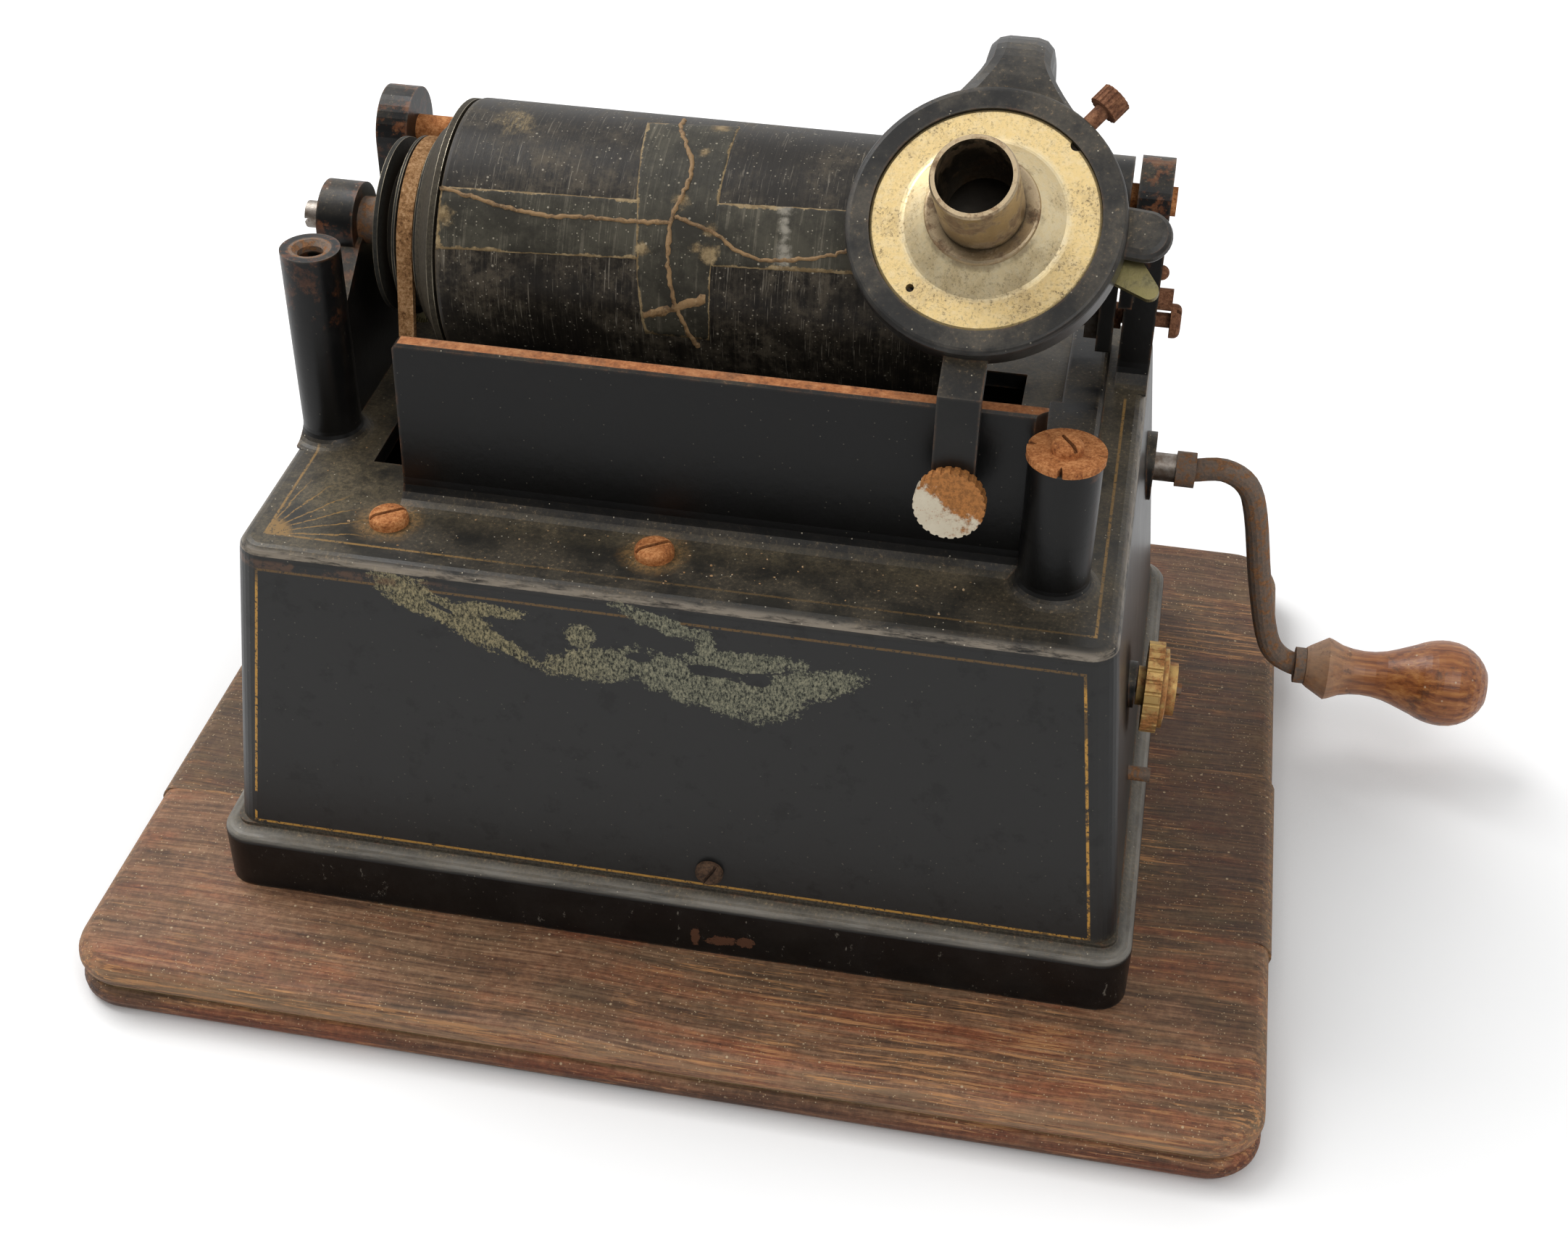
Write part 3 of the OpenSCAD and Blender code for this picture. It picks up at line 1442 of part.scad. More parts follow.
// Three weights on flat springs between two collars
module governor_weights() {
    x0 = third_x0 + wheel_t + 5;
    x1 = disc_face - 1.5;
    mid = (x0 + x1) / 2;
    collar_r = 4;
    collar_l = 3;
    spring_t = 0.9;
    spring_w = 2.4;
    weight_r = 3;
    reach = collar_r + weight_r + 1.4;
    foot = collar_r - 1.2;
    color("goldenrod") {
        tube_x(x0, x0 + collar_l, governor_c, collar_r, 1.5);
        tube_x(x1 - collar_l, x1, governor_c, collar_r, 1.5);
        for (a = [30:120:359])
            translate([0, governor_c[0], governor_c[1]])
                rotate([a + 90, 0, 0]) {
                    translate([0, 0, -spring_w / 2])
                        linear_extrude(height = spring_w)
                            polygon([
                                [x0 + 1, foot],
                                [mid, reach],
                                [x1 - 1, foot],
                                [x1 - 1, foot - spring_t],
                                [mid, reach - spring_t],
                                [x0 + 1, foot - spring_t]
                            ]);
                    translate([mid, reach, -weight_r])
                        cylinder(h = 2 * weight_r, r = weight_r);
                }
    }
}

base_board_front();
base_board_middle();
base_board_rear();
base_screws();
body_casting();
deck_screws();
column_disc();
column_screw();
horn_column_bush();
face_screw();
stub_screw();
back_rod();
mandrel_pivot();
mandrel_bush();
feed_pivot_screw();
post_screws();
idler_stud();
motor_plate_left();
motor_plate_right();
motor_pillars();
crank_bush();
drive_belt();
mandrel_shaft();
mandrel_pulley();
mandrel_flange();
mandrel_drum();
record_cylinder();
idler_gear();
feed_screw();
feed_gear();
carriage_bush();
arm_casting();
half_nut();
set_screw();
reproducer_body();
lower_gasket();
diaphragm();
upper_gasket();
reproducer_plate();
horn_tube();
reproducer_weight();
stylus_bar();
adjusting_screw();
clamp_lever();
clamp_screw();
speed_knob();
speed_rod();
winding_shaft();
crank_rod();
crank_grip();
barrel_arbor();
spring_barrel();
second_arbor();
pulley_arbor();
motor_pulley();
governor_spindle();
governor_weights();
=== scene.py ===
"""Looks of the cylinder phonograph: finishes for every part and the details that dress it."""

import logging
import math
import random
from dataclasses import dataclass
from enum import Enum
from typing import Dict, List, Optional, Sequence, Tuple, Union

import bmesh
import bpy
from mathutils import Matrix, Vector


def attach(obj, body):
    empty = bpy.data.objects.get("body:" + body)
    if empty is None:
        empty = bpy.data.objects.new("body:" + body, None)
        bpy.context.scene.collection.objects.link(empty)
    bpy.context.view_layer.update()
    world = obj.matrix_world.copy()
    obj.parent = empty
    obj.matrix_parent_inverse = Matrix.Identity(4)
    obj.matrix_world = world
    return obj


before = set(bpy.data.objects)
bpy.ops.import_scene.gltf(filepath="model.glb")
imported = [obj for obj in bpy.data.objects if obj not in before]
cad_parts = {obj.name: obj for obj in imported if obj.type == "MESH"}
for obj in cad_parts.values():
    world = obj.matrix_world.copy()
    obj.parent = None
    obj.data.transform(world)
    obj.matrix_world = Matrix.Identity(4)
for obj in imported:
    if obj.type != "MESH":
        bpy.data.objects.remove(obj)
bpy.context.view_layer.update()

LOG = logging.getLogger("phonograph")
MM = 0.001
Socket = bpy.types.NodeSocket
Value = Union[Socket, float, Sequence[float]]
Colour = Tuple[float, float, float]
Point = Tuple[float, float]
Smear = Tuple[float, float, float]
Inputs = Dict[Union[str, int], object]

# Axes and stations of the part, in millimetres
BASE_TOP = 14.0
SKIRT_TOP = 30.0
DECK = 101.7
MANDREL = (6.5, 139.7)
RECORD_R = 27.8
MM_PER_DEGREE = 0.485
ADJUSTER_X = 51.3
EYE = (51.5, -19.016, 167.59)
EYE_TILT = 42.0
EYE_YAW = 4.0
FEED = (46.4, 113.0)


class Blend(Enum):
    """Ways in which one colour is laid over another."""

    OVER = "MIX"
    DARKEN = "MULTIPLY"


class Graph:
    """A node tree that is written with short calls."""

    def __init__(self, tree: bpy.types.NodeTree) -> None:
        """Keeps the tree to build in."""
        self.tree = tree

    def add(self, kind: str, inputs: Optional[Inputs] = None, **settings: object) -> bpy.types.Node:
        """Adds a node.

        Args:
            kind: The node's type, such as ShaderNodeMath.
            inputs: What goes into its inputs, by their names or places.
            settings: Properties to set on it.

        Returns:
            The new node.
        """
        node = self.tree.nodes.new(kind)
        for name, value in settings.items():
            setattr(node, name, value)
        for name, value in (inputs or {}).items():
            self.plug(node.inputs[name], value)
        return node

    def plug(self, into: Socket, value: Value) -> None:
        """Links a socket, or sets its value where a plain number or colour is given.

        Args:
            into: The socket.
            value: Another socket, a number or a colour.
        """
        if isinstance(value, bpy.types.NodeSocket):
            self.tree.links.new(value, into)
        elif isinstance(value, (tuple, list)) and into.type == "RGBA" and len(value) == 3:
            into.default_value = (*value, 1.0)
        else:
            into.default_value = value

    def maths(self, work: str, a: Value, b: Value = 0.0, clamp: bool = False) -> Socket:
        """Does one sum on numbers.

        Args:
            work: The operation, such as ADD.
            a: First number.
            b: Second number.
            clamp: Whether the result is held from 0 to 1.

        Returns:
            The result.
        """
        return self.add("ShaderNodeMath", {0: a, 1: b}, operation=work, use_clamp=clamp).outputs[0]

    def plus(self, first: Value, *others: Value, clamp: bool = False) -> Socket:
        """Adds numbers up; clamp holds the result from 0 to 1.

        Args:
            first: The first number.
            others: The other numbers.
            clamp: Whether the sum is held from 0 to 1.

        Returns:
            The sum.
        """
        for other in others[:-1]:
            first = self.maths("ADD", first, other)
        return self.maths("ADD", first, others[-1], clamp)

    def less(self, a: Value, b: Value) -> Socket:
        """Takes one number from another."""
        return self.maths("SUBTRACT", a, b)

    def sway(self, pattern: Value, size: float) -> Socket:
        """A cloud pattern as a wobble round zero."""
        return self.both(self.less(pattern, 0.5), size)

    def length(self, a: Value, b: Value) -> Socket:
        """Length of the line with these two sides."""
        return self.maths("SQRT", self.plus(self.maths("POWER", a, 2.0), self.maths("POWER", b, 2.0)))

    def vector(self, work: str, a: Value, b: Value = (0.0, 0.0, 0.0)) -> bpy.types.Node:
        """Does one sum on vectors and returns its node."""
        return self.add("ShaderNodeVectorMath", {0: a, 1: b}, operation=work)

    def parts(self, value: Socket) -> Tuple[Socket, Socket, Socket]:
        """Splits a vector into its X, Y and Z."""
        node = self.add("ShaderNodeSeparateXYZ", {0: value})
        return node.outputs[0], node.outputs[1], node.outputs[2]

    def step(self, value: Value, low: float, high: float) -> Socket:
        """Goes smoothly from 0 at low to 1 at high, whichever of the two is the greater.

        Args:
            value: The number to read.
            low: Where the result is 0.
            high: Where the result is 1.

        Returns:
            The result.
        """
        ends = (1.0, 0.0) if low > high else (0.0, 1.0)
        inputs = {0: value, 1: min(low, high), 2: max(low, high), 3: ends[0], 4: ends[1]}
        return self.add("ShaderNodeMapRange", inputs, interpolation_type="SMOOTHSTEP").outputs[0]

    def band(self, value: Value, *edges: float) -> Socket:
        """Rises over the first two edges and falls over the last two."""
        return self.both(self.step(value, edges[0], edges[1]), self.step(value, edges[3], edges[2]))

    def both(self, *masks: Value) -> Socket:
        """Multiplies masks together.

        Args:
            masks: The masks.

        Returns:
            Their product.
        """
        result = masks[0]
        for mask in masks[1:]:
            result = self.maths("MULTIPLY", result, mask)
        return result

    def either(self, *masks: Value) -> Socket:
        """Takes the greatest of several masks.

        Args:
            masks: The masks.

        Returns:
            The greatest of them.
        """
        result = masks[0]
        for mask in masks[1:]:
            result = self.maths("MAXIMUM", result, mask)
        return result


@dataclass(frozen=True)
class Noise:
    """A cloud pattern: how fine it is in features a metre, and how rough."""

    scale: float
    detail: float = 5.0
    rough: float = 0.6


class Shader(Graph):
    """A surface material on the piece's own coordinates."""

    BEVEL_SAMPLES = 4
    SMOOTH, SHARP = 0.985, 0.86

    def __init__(self, name: str) -> None:
        """Starts a material with one principled surface.

        Args:
            name: The material's name.
        """
        self.material = bpy.data.materials.new(name)
        self.material.use_nodes = True
        super().__init__(self.material.node_tree)
        self.surface = self.tree.nodes["Principled BSDF"]
        place = self.add("ShaderNodeTexCoord")
        self.where = place.outputs["Object"]
        large = self.add("ShaderNodeVectorMath", {0: self.where, "Scale": 1.0 / MM}, operation="SCALE")
        self.x, self.y, self.z = self.parts(large.outputs[0])
        _, self.ny, self.nz = self.parts(place.outputs["Normal"])

    def stretch(self, scale: Sequence[float], shift: Sequence[float] = (0, 0, 0)) -> Socket:
        """The piece's coordinates, scaled and moved."""
        return self.add("ShaderNodeMapping", {0: self.where, 1: shift, 3: scale}).outputs[0]

    def local(self, origin: Sequence[float], turn: Sequence[float]) -> Socket:
        """The piece's coordinates seen from a tilted frame.

        Args:
            origin: Origin of the frame, in millimetres.
            turn: Its turn, as X, Y and Z angles.

        Returns:
            Coordinates in that frame, in metres.
        """
        inputs = {0: self.where, 1: [v * MM for v in origin], 2: turn}
        return self.add("ShaderNodeMapping", inputs, vector_type="TEXTURE").outputs[0]

    def cloud(self, noise: Noise, where: Optional[Socket] = None) -> Socket:
        """A cloud pattern at the given coordinates."""
        look = {"Scale": noise.scale, "Detail": noise.detail, "Roughness": noise.rough}
        return self.add("ShaderNodeTexNoise", {"Vector": where or self.where, **look}).outputs["Fac"]

    def lines(self, noise: Noise, *scale: float) -> Socket:
        """A cloud pattern that is stretched along the axes."""
        return self.cloud(noise, self.stretch(scale))

    def ramp(self, value: Socket, stops: Sequence[Tuple[float, Colour]]) -> Socket:
        """Colours a number by stops of (number, colour).

        Args:
            value: The number.
            stops: Numbers and their colours, in order.

        Returns:
            The colour.
        """
        node = self.add("ShaderNodeValToRGB", {0: value})
        keys = node.color_ramp.elements
        for place, _ in stops[2:]:
            keys.new(place)
        for key, (place, colour) in zip(keys, stops):
            key.position = place
            key.color = (*colour, 1.0)
        return node.outputs[0]

    def lay(self, amount: Value, under: Value, over: Value, how: Blend = Blend.OVER) -> Socket:
        """Lays one colour over another.

        Args:
            amount: How much of the upper colour shows.
            under: The lower colour.
            over: The upper colour.
            how: The way they mix.

        Returns:
            The mixed colour.
        """
        inputs = {0: amount, 6: under, 7: over}
        return self.add("ShaderNodeMix", inputs, data_type="RGBA", blend_type=how.value).outputs[2]

    def coats(self, colour: Value, *layers: Tuple[Value, float, Value]) -> Socket:
        """Lays coats over a colour, each given as its mask, amount and colour.

        Args:
            colour: The colour under them.
            layers: Each coat's mask, amount and colour.

        Returns:
            The result.
        """
        for mask, amount, over in layers:
            colour = self.lay(self.both(mask, amount), colour, over)
        return colour

    def between(self, amount: Value, low: Value, high: Value) -> Socket:
        """A number that goes from low to high with the amount."""
        return self.add("ShaderNodeMix", {0: amount, 2: low, 3: high}, data_type="FLOAT").outputs[0]

    def corners(self, radius: float) -> Socket:
        """Mask of the piece's edges, by how far a rounded normal leaves the true one.

        Args:
            radius: How far from an edge the mask reaches, in millimetres.

        Returns:
            The mask.
        """
        soft = self.add("ShaderNodeBevel", {0: radius * MM}, samples=self.BEVEL_SAMPLES)
        true = self.add("ShaderNodeNewGeometry")
        near = self.vector("DOT_PRODUCT", soft.outputs[0], true.outputs["Normal"])
        return self.step(near.outputs["Value"], self.SMOOTH, self.SHARP)

    def hollows(self, reach: float) -> Socket:
        """Mask of the piece's own hollows and inner corners.

        Args:
            reach: How far a wall may be, in millimetres.

        Returns:
            The mask.
        """
        inputs = {"Distance": reach * MM}
        node = self.add("ShaderNodeAmbientOcclusion", inputs, samples=self.BEVEL_SAMPLES, only_local=True)
        return self.less(1.0, node.outputs["AO"])

    def dots(self, spacing: float, size: float, share: float) -> Socket:
        """Mask of scattered dots.

        Args:
            spacing: Rough distance between the places for a dot, in millimetres.
            size: Radius of a dot, in millimetres.
            share: Share of the places that have one.

        Returns:
            The mask.
        """
        cell = self.add("ShaderNodeTexVoronoi", {"Vector": self.where, "Scale": 1.0 / (spacing * MM)})
        near = self.step(cell.outputs["Distance"], size / spacing * 1.2, size / spacing * 0.7)
        return self.both(near, self.maths("LESS_THAN", self.parts(cell.outputs["Color"])[0], share))

    def level(self, height: float, *edges: float) -> Socket:
        """Mask of a band of heights, by how far its four edges lie over a named height."""
        return self.band(self.z, *(height + edge for edge in edges))

    def upward(self, low: float = 0.55, high: float = 0.9) -> Socket:
        """Mask of the faces that look up."""
        return self.step(self.nz, low, high)

    def finish(
        self,
        colour: Value,
        rough: Value,
        metal: Value = 0.0,
        relief: Optional[Socket] = None,
        depth: float = 0.1,
        specular: float = 0.5,
        coat: float = 0.0,
    ) -> bpy.types.Material:
        """Plugs the surface's values.

        Args:
            colour: Base colour.
            rough: Roughness.
            metal: Share of bare metal.
            relief: Height pattern from 0 to 1.
            depth: Height of the pattern in millimetres.
            specular: Strength of the reflection.
            coat: Strength of a clear coat.

        Returns:
            The finished material.
        """
        inputs = {
            "Base Color": colour,
            "Roughness": rough,
            "Metallic": metal,
            "Specular IOR Level": specular,
            "Coat Weight": coat,
            "Coat Roughness": 0.25,
        }
        if relief is not None:
            bump = self.add("ShaderNodeBump", {"Strength": 1.0, "Distance": depth * MM, "Height": relief})
            inputs["Normal"] = bump.outputs[0]
        for name, value in inputs.items():
            self.plug(self.surface.inputs[name], value)
        return self.material


@dataclass(frozen=True)
class Finish:
    """A named finish that makes its own material once."""

    name: str

    def paint(self, s: Shader) -> bpy.types.Material:
        """Fills in the material; each finish has its own.

        Args:
            s: The shader.

        Returns:
            The finished material.
        """
        raise NotImplementedError

    def material(self) -> bpy.types.Material:
        """The finish's material, made on first use."""
        return bpy.data.materials.get(self.name) or self.paint(Shader(self.name))


@dataclass(frozen=True)
class Oak(Finish):
    """Stained, dusty oak with its grain along X."""

    shift: float = 0.0
    dusty: float = 0.35
    # Scale of the grain tones: painted light, higher on the front board than on the middle and rear ones.
    painted_brightness: float = 1.0

    def fibres(self, s: Shader, noise: Noise, long: float, across: float) -> Socket:
        """A cloud pattern drawn out along X that wanders a little aside.

        Args:
            s: The shader.
            noise: The pattern.
            long: Features a metre along the grain.
            across: Features a metre across the grain.

        Returns:
            The pattern.
        """
        at = s.stretch((1, 1, 1), (self.shift, self.shift * 3, 0.0))
        x, y, z = s.parts(at)
        aside = s.both(s.cloud(Noise(7, 2), at), 0.010)
        inputs = {0: s.both(x, long), 1: s.both(s.plus(y, aside), across), 2: s.both(z, across)}
        return s.cloud(noise, s.add("ShaderNodeCombineXYZ", inputs).outputs[0])

    def paint(self, s: Shader) -> bpy.types.Material:
        """Grain, stain, pores, scratches, dust and a fuzzy ledge in the moulded edge; the tones carry painted
        light, and the rounded nose is paler from dust and a painted highlight.

        Args:
            s: The shader.

        Returns:
            The finished material.
        """
        at = s.stretch((1, 1.7, 1), (self.shift, 0, 0))
        grain = s.between(0.35, self.fibres(s, Noise(1, 6, 0.72), 45.0, 1200.0), s.cloud(Noise(600, 5, 0.75)))
        broad = self.fibres(s, Noise(1, 5, 0.66), 14.0, 150.0)
        scrapes = self.fibres(s, Noise(1, 5, 0.75), 42.0, 1150.0)
        wide, drift = s.cloud(Noise(17, 6, 0.70), at), s.cloud(Noise(46, 6, 0.74))
        tones = [(0.36, (0.036, 0.015, 0.008)), (0.50, (0.112, 0.054, 0.027)), (0.62, (0.215, 0.120, 0.066))]
        colour = s.ramp(grain, [(stop, tuple(v * self.painted_brightness for v in tone)) for stop, tone in tones])
        red = s.both(s.step(broad, 0.45, 0.58), s.step(wide, 0.40, 0.56), 0.8)
        colour = s.lay(red, colour, (1.20, 0.70, 0.52), Blend.DARKEN)
        dark = s.both(s.step(broad, 0.50, 0.38), s.step(drift, 0.38, 0.54), 0.85)
        colour = s.lay(dark, colour, (0.36, 0.32, 0.30), Blend.DARKEN)
        nose = s.level(BASE_TOP, -6.2, -5.0, -1.5, -0.15)
        dust = s.both(s.step(drift, 0.38, 0.64), s.upward(), self.dusty)
        powder = s.lay(s.step(grain, 0.38, 0.60), (0.105, 0.068, 0.036), (0.230, 0.160, 0.090))
        # The rounded nose is laid paler: partly dust, partly a painted highlight along the edge.
        pale = s.both(nose, s.step(self.fibres(s, Noise(1, 5, 0.7), 18.0, 600.0), 0.36, 0.56), 0.7)
        blots = s.both(s.step(wide, 0.48, 0.58), 0.8)
        worn = s.plus(s.both(s.corners(2.2), 0.6), blots, s.both(nose, 0.5), clamp=True)
        bare = s.both(s.step(scrapes, 0.530, 0.580), s.plus(worn, 0.12, clamp=True))
        tufts = [(0.35, (0.16, 0.115, 0.055)), (0.65, (0.55, 0.42, 0.22))]
        fuzz = s.ramp(s.cloud(Noise(1300, 4, 0.8)), tufts)
        colour = s.coats(
            colour,
            (dust, 1.0, powder),
            (pale, 0.75, (0.32, 0.215, 0.125)),
            (bare, 0.9, (0.50, 0.245, 0.098)),
            (s.level(BASE_TOP, -8.4, -7.9, -6.9, -6.1), 0.9, fuzz),
        )
        low = s.step(s.z, BASE_TOP - 9.0, BASE_TOP - 9.8)
        colour = s.lay(s.both(low, 0.8), colour, (0.52, 0.40, 0.34), Blend.DARKEN)
        grit = s.either(s.both(s.dots(0.9, 0.15, 0.8), s.step(drift, 0.36, 0.52)), s.dots(3.0, 0.30, 0.4))
        colour = s.coats(
            colour,
            (s.both(low, s.step(scrapes, 0.58, 0.64)), 0.8, (0.46, 0.22, 0.10)),
            (s.both(grit, s.upward(0.2, 0.5)), 0.8, (0.58, 0.44, 0.27)),
        )
        rough = s.between(s.either(dust, pale), s.between(grain, 0.42, 0.60), 0.80)
        return s.finish(colour, rough, relief=grain, depth=0.30, specular=0.4)


@dataclass(frozen=True)
class Japan(Finish):
    """Black baked enamel on iron, dusty on top and worn at the edges."""

    black: Colour = (0.0045, 0.0045, 0.0046)
    haze: Colour = (0.0095, 0.0090, 0.0086)
    dusty: float = 0.35
    rusty: float = 0.30

    def marks(self, s: Shader, colour: Socket) -> Tuple[Socket, Value]:
        """Adds what only one casting bears; returns the colour and the matt share."""
        return colour, 0.0

    def paint(self, s: Shader) -> bpy.types.Material:
        """Enamel, haze, dust in the hollows, rust at the edges, and pale edges that are partly wear and
        partly a painted highlight.

        Args:
            s: The shader.

        Returns:
            The finished material.
        """
        cloud = s.cloud(Noise(70, 6, 0.68))
        fine = s.cloud(Noise(1200, 5, 0.72))
        colour, matt = self.marks(s, s.lay(s.step(cloud, 0.38, 0.66), self.black, self.haze))
        flat = s.upward(0.35, 0.85)
        drift = s.plus(s.both(s.step(cloud, 0.40, 0.62), 0.55), s.both(s.hollows(7), 1.3), clamp=True)
        dust = s.both(flat, drift, self.dusty)
        grainy = s.plus(drift, 0.12, clamp=True)
        grain = s.both(flat, s.step(fine, 0.58, 0.68), grainy, min(1.0, self.dusty * 1.6))
        seen = s.plus(s.both(s.upward(0.1, 0.5), 0.9), 0.18)
        edge = s.corners(0.9)
        chips = s.both(edge, s.step(s.cloud(Noise(240, 6, 0.78)), 0.47, 0.58))
        rust = s.ramp(fine, [(0.3, (0.055, 0.028, 0.016)), (0.7, (0.30, 0.125, 0.048))])
        powder = s.ramp(fine, [(0.38, (0.075, 0.058, 0.036)), (0.62, (0.215, 0.165, 0.098))])
        colour = s.coats(
            colour,
            (dust, 1.0, powder),
            (grain, 1.0, (0.36, 0.25, 0.14)),
            (s.both(s.dots(1.5, 0.15, 0.35), seen), 0.6, (0.62, 0.55, 0.42)),
            # Pale edges: partly worn enamel, partly a painted highlight.
            (edge, 0.35, (0.115, 0.100, 0.080)),
            (chips, self.rusty * 1.6, rust),
        )
        rough = s.between(s.either(dust, grain, matt), s.between(cloud, 0.26, 0.42), 0.74)
        relief = s.plus(s.both(s.cloud(Noise(420, 4, 0.6)), 0.5), s.both(fine, s.plus(dust, 0.06)))
        return s.finish(colour, rough, relief=relief, depth=0.10, specular=0.3)


@dataclass(frozen=True)
class ArmJapan(Japan):
    """The arm's enamel, hazy on the eye and glossy black on the tab below it."""

    tab_top: float = 148.0

    def marks(self, s: Shader, colour: Socket) -> Tuple[Socket, Value]:
        """Blackens the tab."""
        low = s.step(s.z, self.tab_top + 1.5, self.tab_top - 1.5)
        return s.coats(colour, (low, 0.9, (0.006, 0.0058, 0.0055))), 0.0


@dataclass(frozen=True)
class Spot:
    """A worn place on the front: its middle, half sizes and slope, in millimetres."""

    x: float
    z: float
    half_x: float
    half_z: float
    slope: float = 0.0


@dataclass(frozen=True)
class BodyJapan(Japan):
    """The body casting's enamel, with its gold lines, worn front and rusty wall top."""

    gold: Colour = (0.52, 0.27, 0.050)
    worn: Tuple[Spot, ...] = (
        Spot(-53.5, 95.8, 8.5, 4.2, -0.36),
        Spot(-44.0, 90.8, 11.5, 4.0, -0.52),
        Spot(-34.5, 86.2, 8.0, 2.2, -0.55),
        Spot(-38.0, 94.2, 9.0, 1.7, 0.0),
        Spot(-18.8, 91.0, 3.6, 3.4),
        Spot(-14.5, 84.6, 12.0, 4.4, 0.14),
        Spot(-1.0, 84.0, 10.0, 5.4, -0.30),
        Spot(9.0, 81.4, 11.0, 5.2, -0.32),
        Spot(19.0, 81.4, 9.0, 5.6, 0.1),
        Spot(27.5, 86.0, 12.5, 3.8, 0.25),
        Spot(14.0, 89.6, 13.0, 2.6, 0.08),
        Spot(-2.0, 96.2, 10.0, 2.3, -0.30),
        Spot(6.6, 92.4, 2.6, 4.0),
    )
    gaps: Tuple[Spot, ...] = (
        Spot(7.6, 86.4, 4.6, 1.6),
        Spot(17.2, 85.8, 3.4, 1.8),
        Spot(-6.5, 87.6, 3.4, 1.2),
        Spot(-47.5, 93.4, 3.4, 0.9, -0.4),
    )
    chips: Tuple[Spot, ...] = (
        Spot(5.6, 18.6, 1.1, 3.0),
        Spot(11.0, 18.2, 4.2, 1.5, 0.1),
        Spot(16.5, 18.6, 2.2, 1.6),
    )
    screws: Tuple[Point, ...] = ((-62.65, -48.6), (-7.15, -48.6))
    front_line: Tuple[Point, Point] = ((-2.6, 64.0), (83.5, 33.0))
    front_flare: float = 0.115
    deck_line: Tuple[Point, Point] = ((-2.0, 2.5), (84.0, 60.0))
    fan: Point = (-86.0, -57.5)
    seam: Point = (60.0, 115.0)
    wall_top: float = 137.0

    def frame_line(self, s: Shader, face: Sequence[Socket], middle: Point, half: Sequence[Value]) -> Socket:
        """Mask of a thin rectangle.

        Args:
            s: The shader.
            face: Coordinates across and up the face, in millimetres.
            middle: Middle of the rectangle in millimetres.
            half: Half its width and height; the width may vary over the face.

        Returns:
            The mask of a line 0.5 mm wide.
        """
        du, dv = (
            s.less(s.maths("ABSOLUTE", s.less(place, centre)), side)
            for place, centre, side in zip(face, middle, half)
        )
        return s.step(s.maths("ABSOLUTE", s.maths("MAXIMUM", du, dv)), 0.40, 0.18)

    def within(self, s: Shader, spots: Sequence[Spot]) -> Socket:
        """How far inside the nearest of some spots a point is: 1 at a middle, 0 at a border.

        Args:
            s: The shader.
            spots: The spots.

        Returns:
            1 at a middle, 0 at a border and less outside.
        """
        best: Value = -1.0
        for spot in spots:
            dx = s.less(s.x, spot.x)
            dz = s.less(s.less(s.z, spot.z), s.both(dx, spot.slope))
            a, b = (
                s.maths("POWER", s.maths("DIVIDE", s.maths("ABSOLUTE", away), half), 2.0)
                for away, half in ((dx, spot.half_x), (dz, spot.half_z))
            )
            best = s.either(best, s.less(1.0, s.plus(a, b)))
        return best

    def gilding(self, s: Shader, front: Socket, deck: Socket) -> Socket:
        """Mask of the broken gold lines on front and deck, and of the fan at the deck's corner.

        Args:
            s: The shader.
            front: Mask of the front face.
            deck: Mask of the deck.

        Returns:
            The mask.
        """
        middle, (wide, tall) = self.front_line
        half = s.plus(s.both(s.less(middle[1] + tall, s.z), self.front_flare), wide)
        side = s.either(s.step(s.x, -80.0, -83.0), s.both(s.step(s.x, 74.0, 77.0), 0.8))
        line = s.both(
            front,
            self.frame_line(s, (s.x, s.z), middle, (half, tall)),
            s.between(s.step(s.z, 92.0, 96.0), 1.0, 0.22),
            s.between(side, 1.0, s.step(s.cloud(Noise(130, 4, 0.8)), 0.42, 0.50)),
        )
        rim = self.frame_line(s, (s.x, s.y), *self.deck_line)
        fade = s.between(s.step(s.x, -60.0, -25.0), s.both(s.step(s.y, -46.0, -48.0), 0.85), 0.24)
        ends = s.either(s.step(s.x, 79.0, 81.0), s.step(s.x, -85.5, -86.0), fade)
        strip = s.both(deck, rim, ends, s.step(s.y, 30.0, 29.0))
        fan_x, fan_y = s.less(s.x, self.fan[0]), s.less(s.y, self.fan[1])
        reach = s.length(fan_x, fan_y)
        turn = s.plus(s.both(s.maths("ARCTAN2", fan_y, fan_x), 12.0), s.both(s.cloud(Noise(140, 3)), 3.0))
        ray = s.both(reach, s.maths("ABSOLUTE", s.maths("SINE", turn)))
        rays = s.either(s.both(s.step(ray, 3.0, 1.4), s.step(reach, 22.0, 15.0)), s.step(reach, 6.2, 4.0))
        inside = s.both(s.step(fan_x, -0.2, 0.2), s.step(fan_y, -0.2, 0.2), 0.9)
        broken = s.step(s.cloud(Noise(1400, 4, 0.75)), 0.38, 0.48)
        return s.both(s.either(line, strip, s.both(rays, deck, inside)), broken)

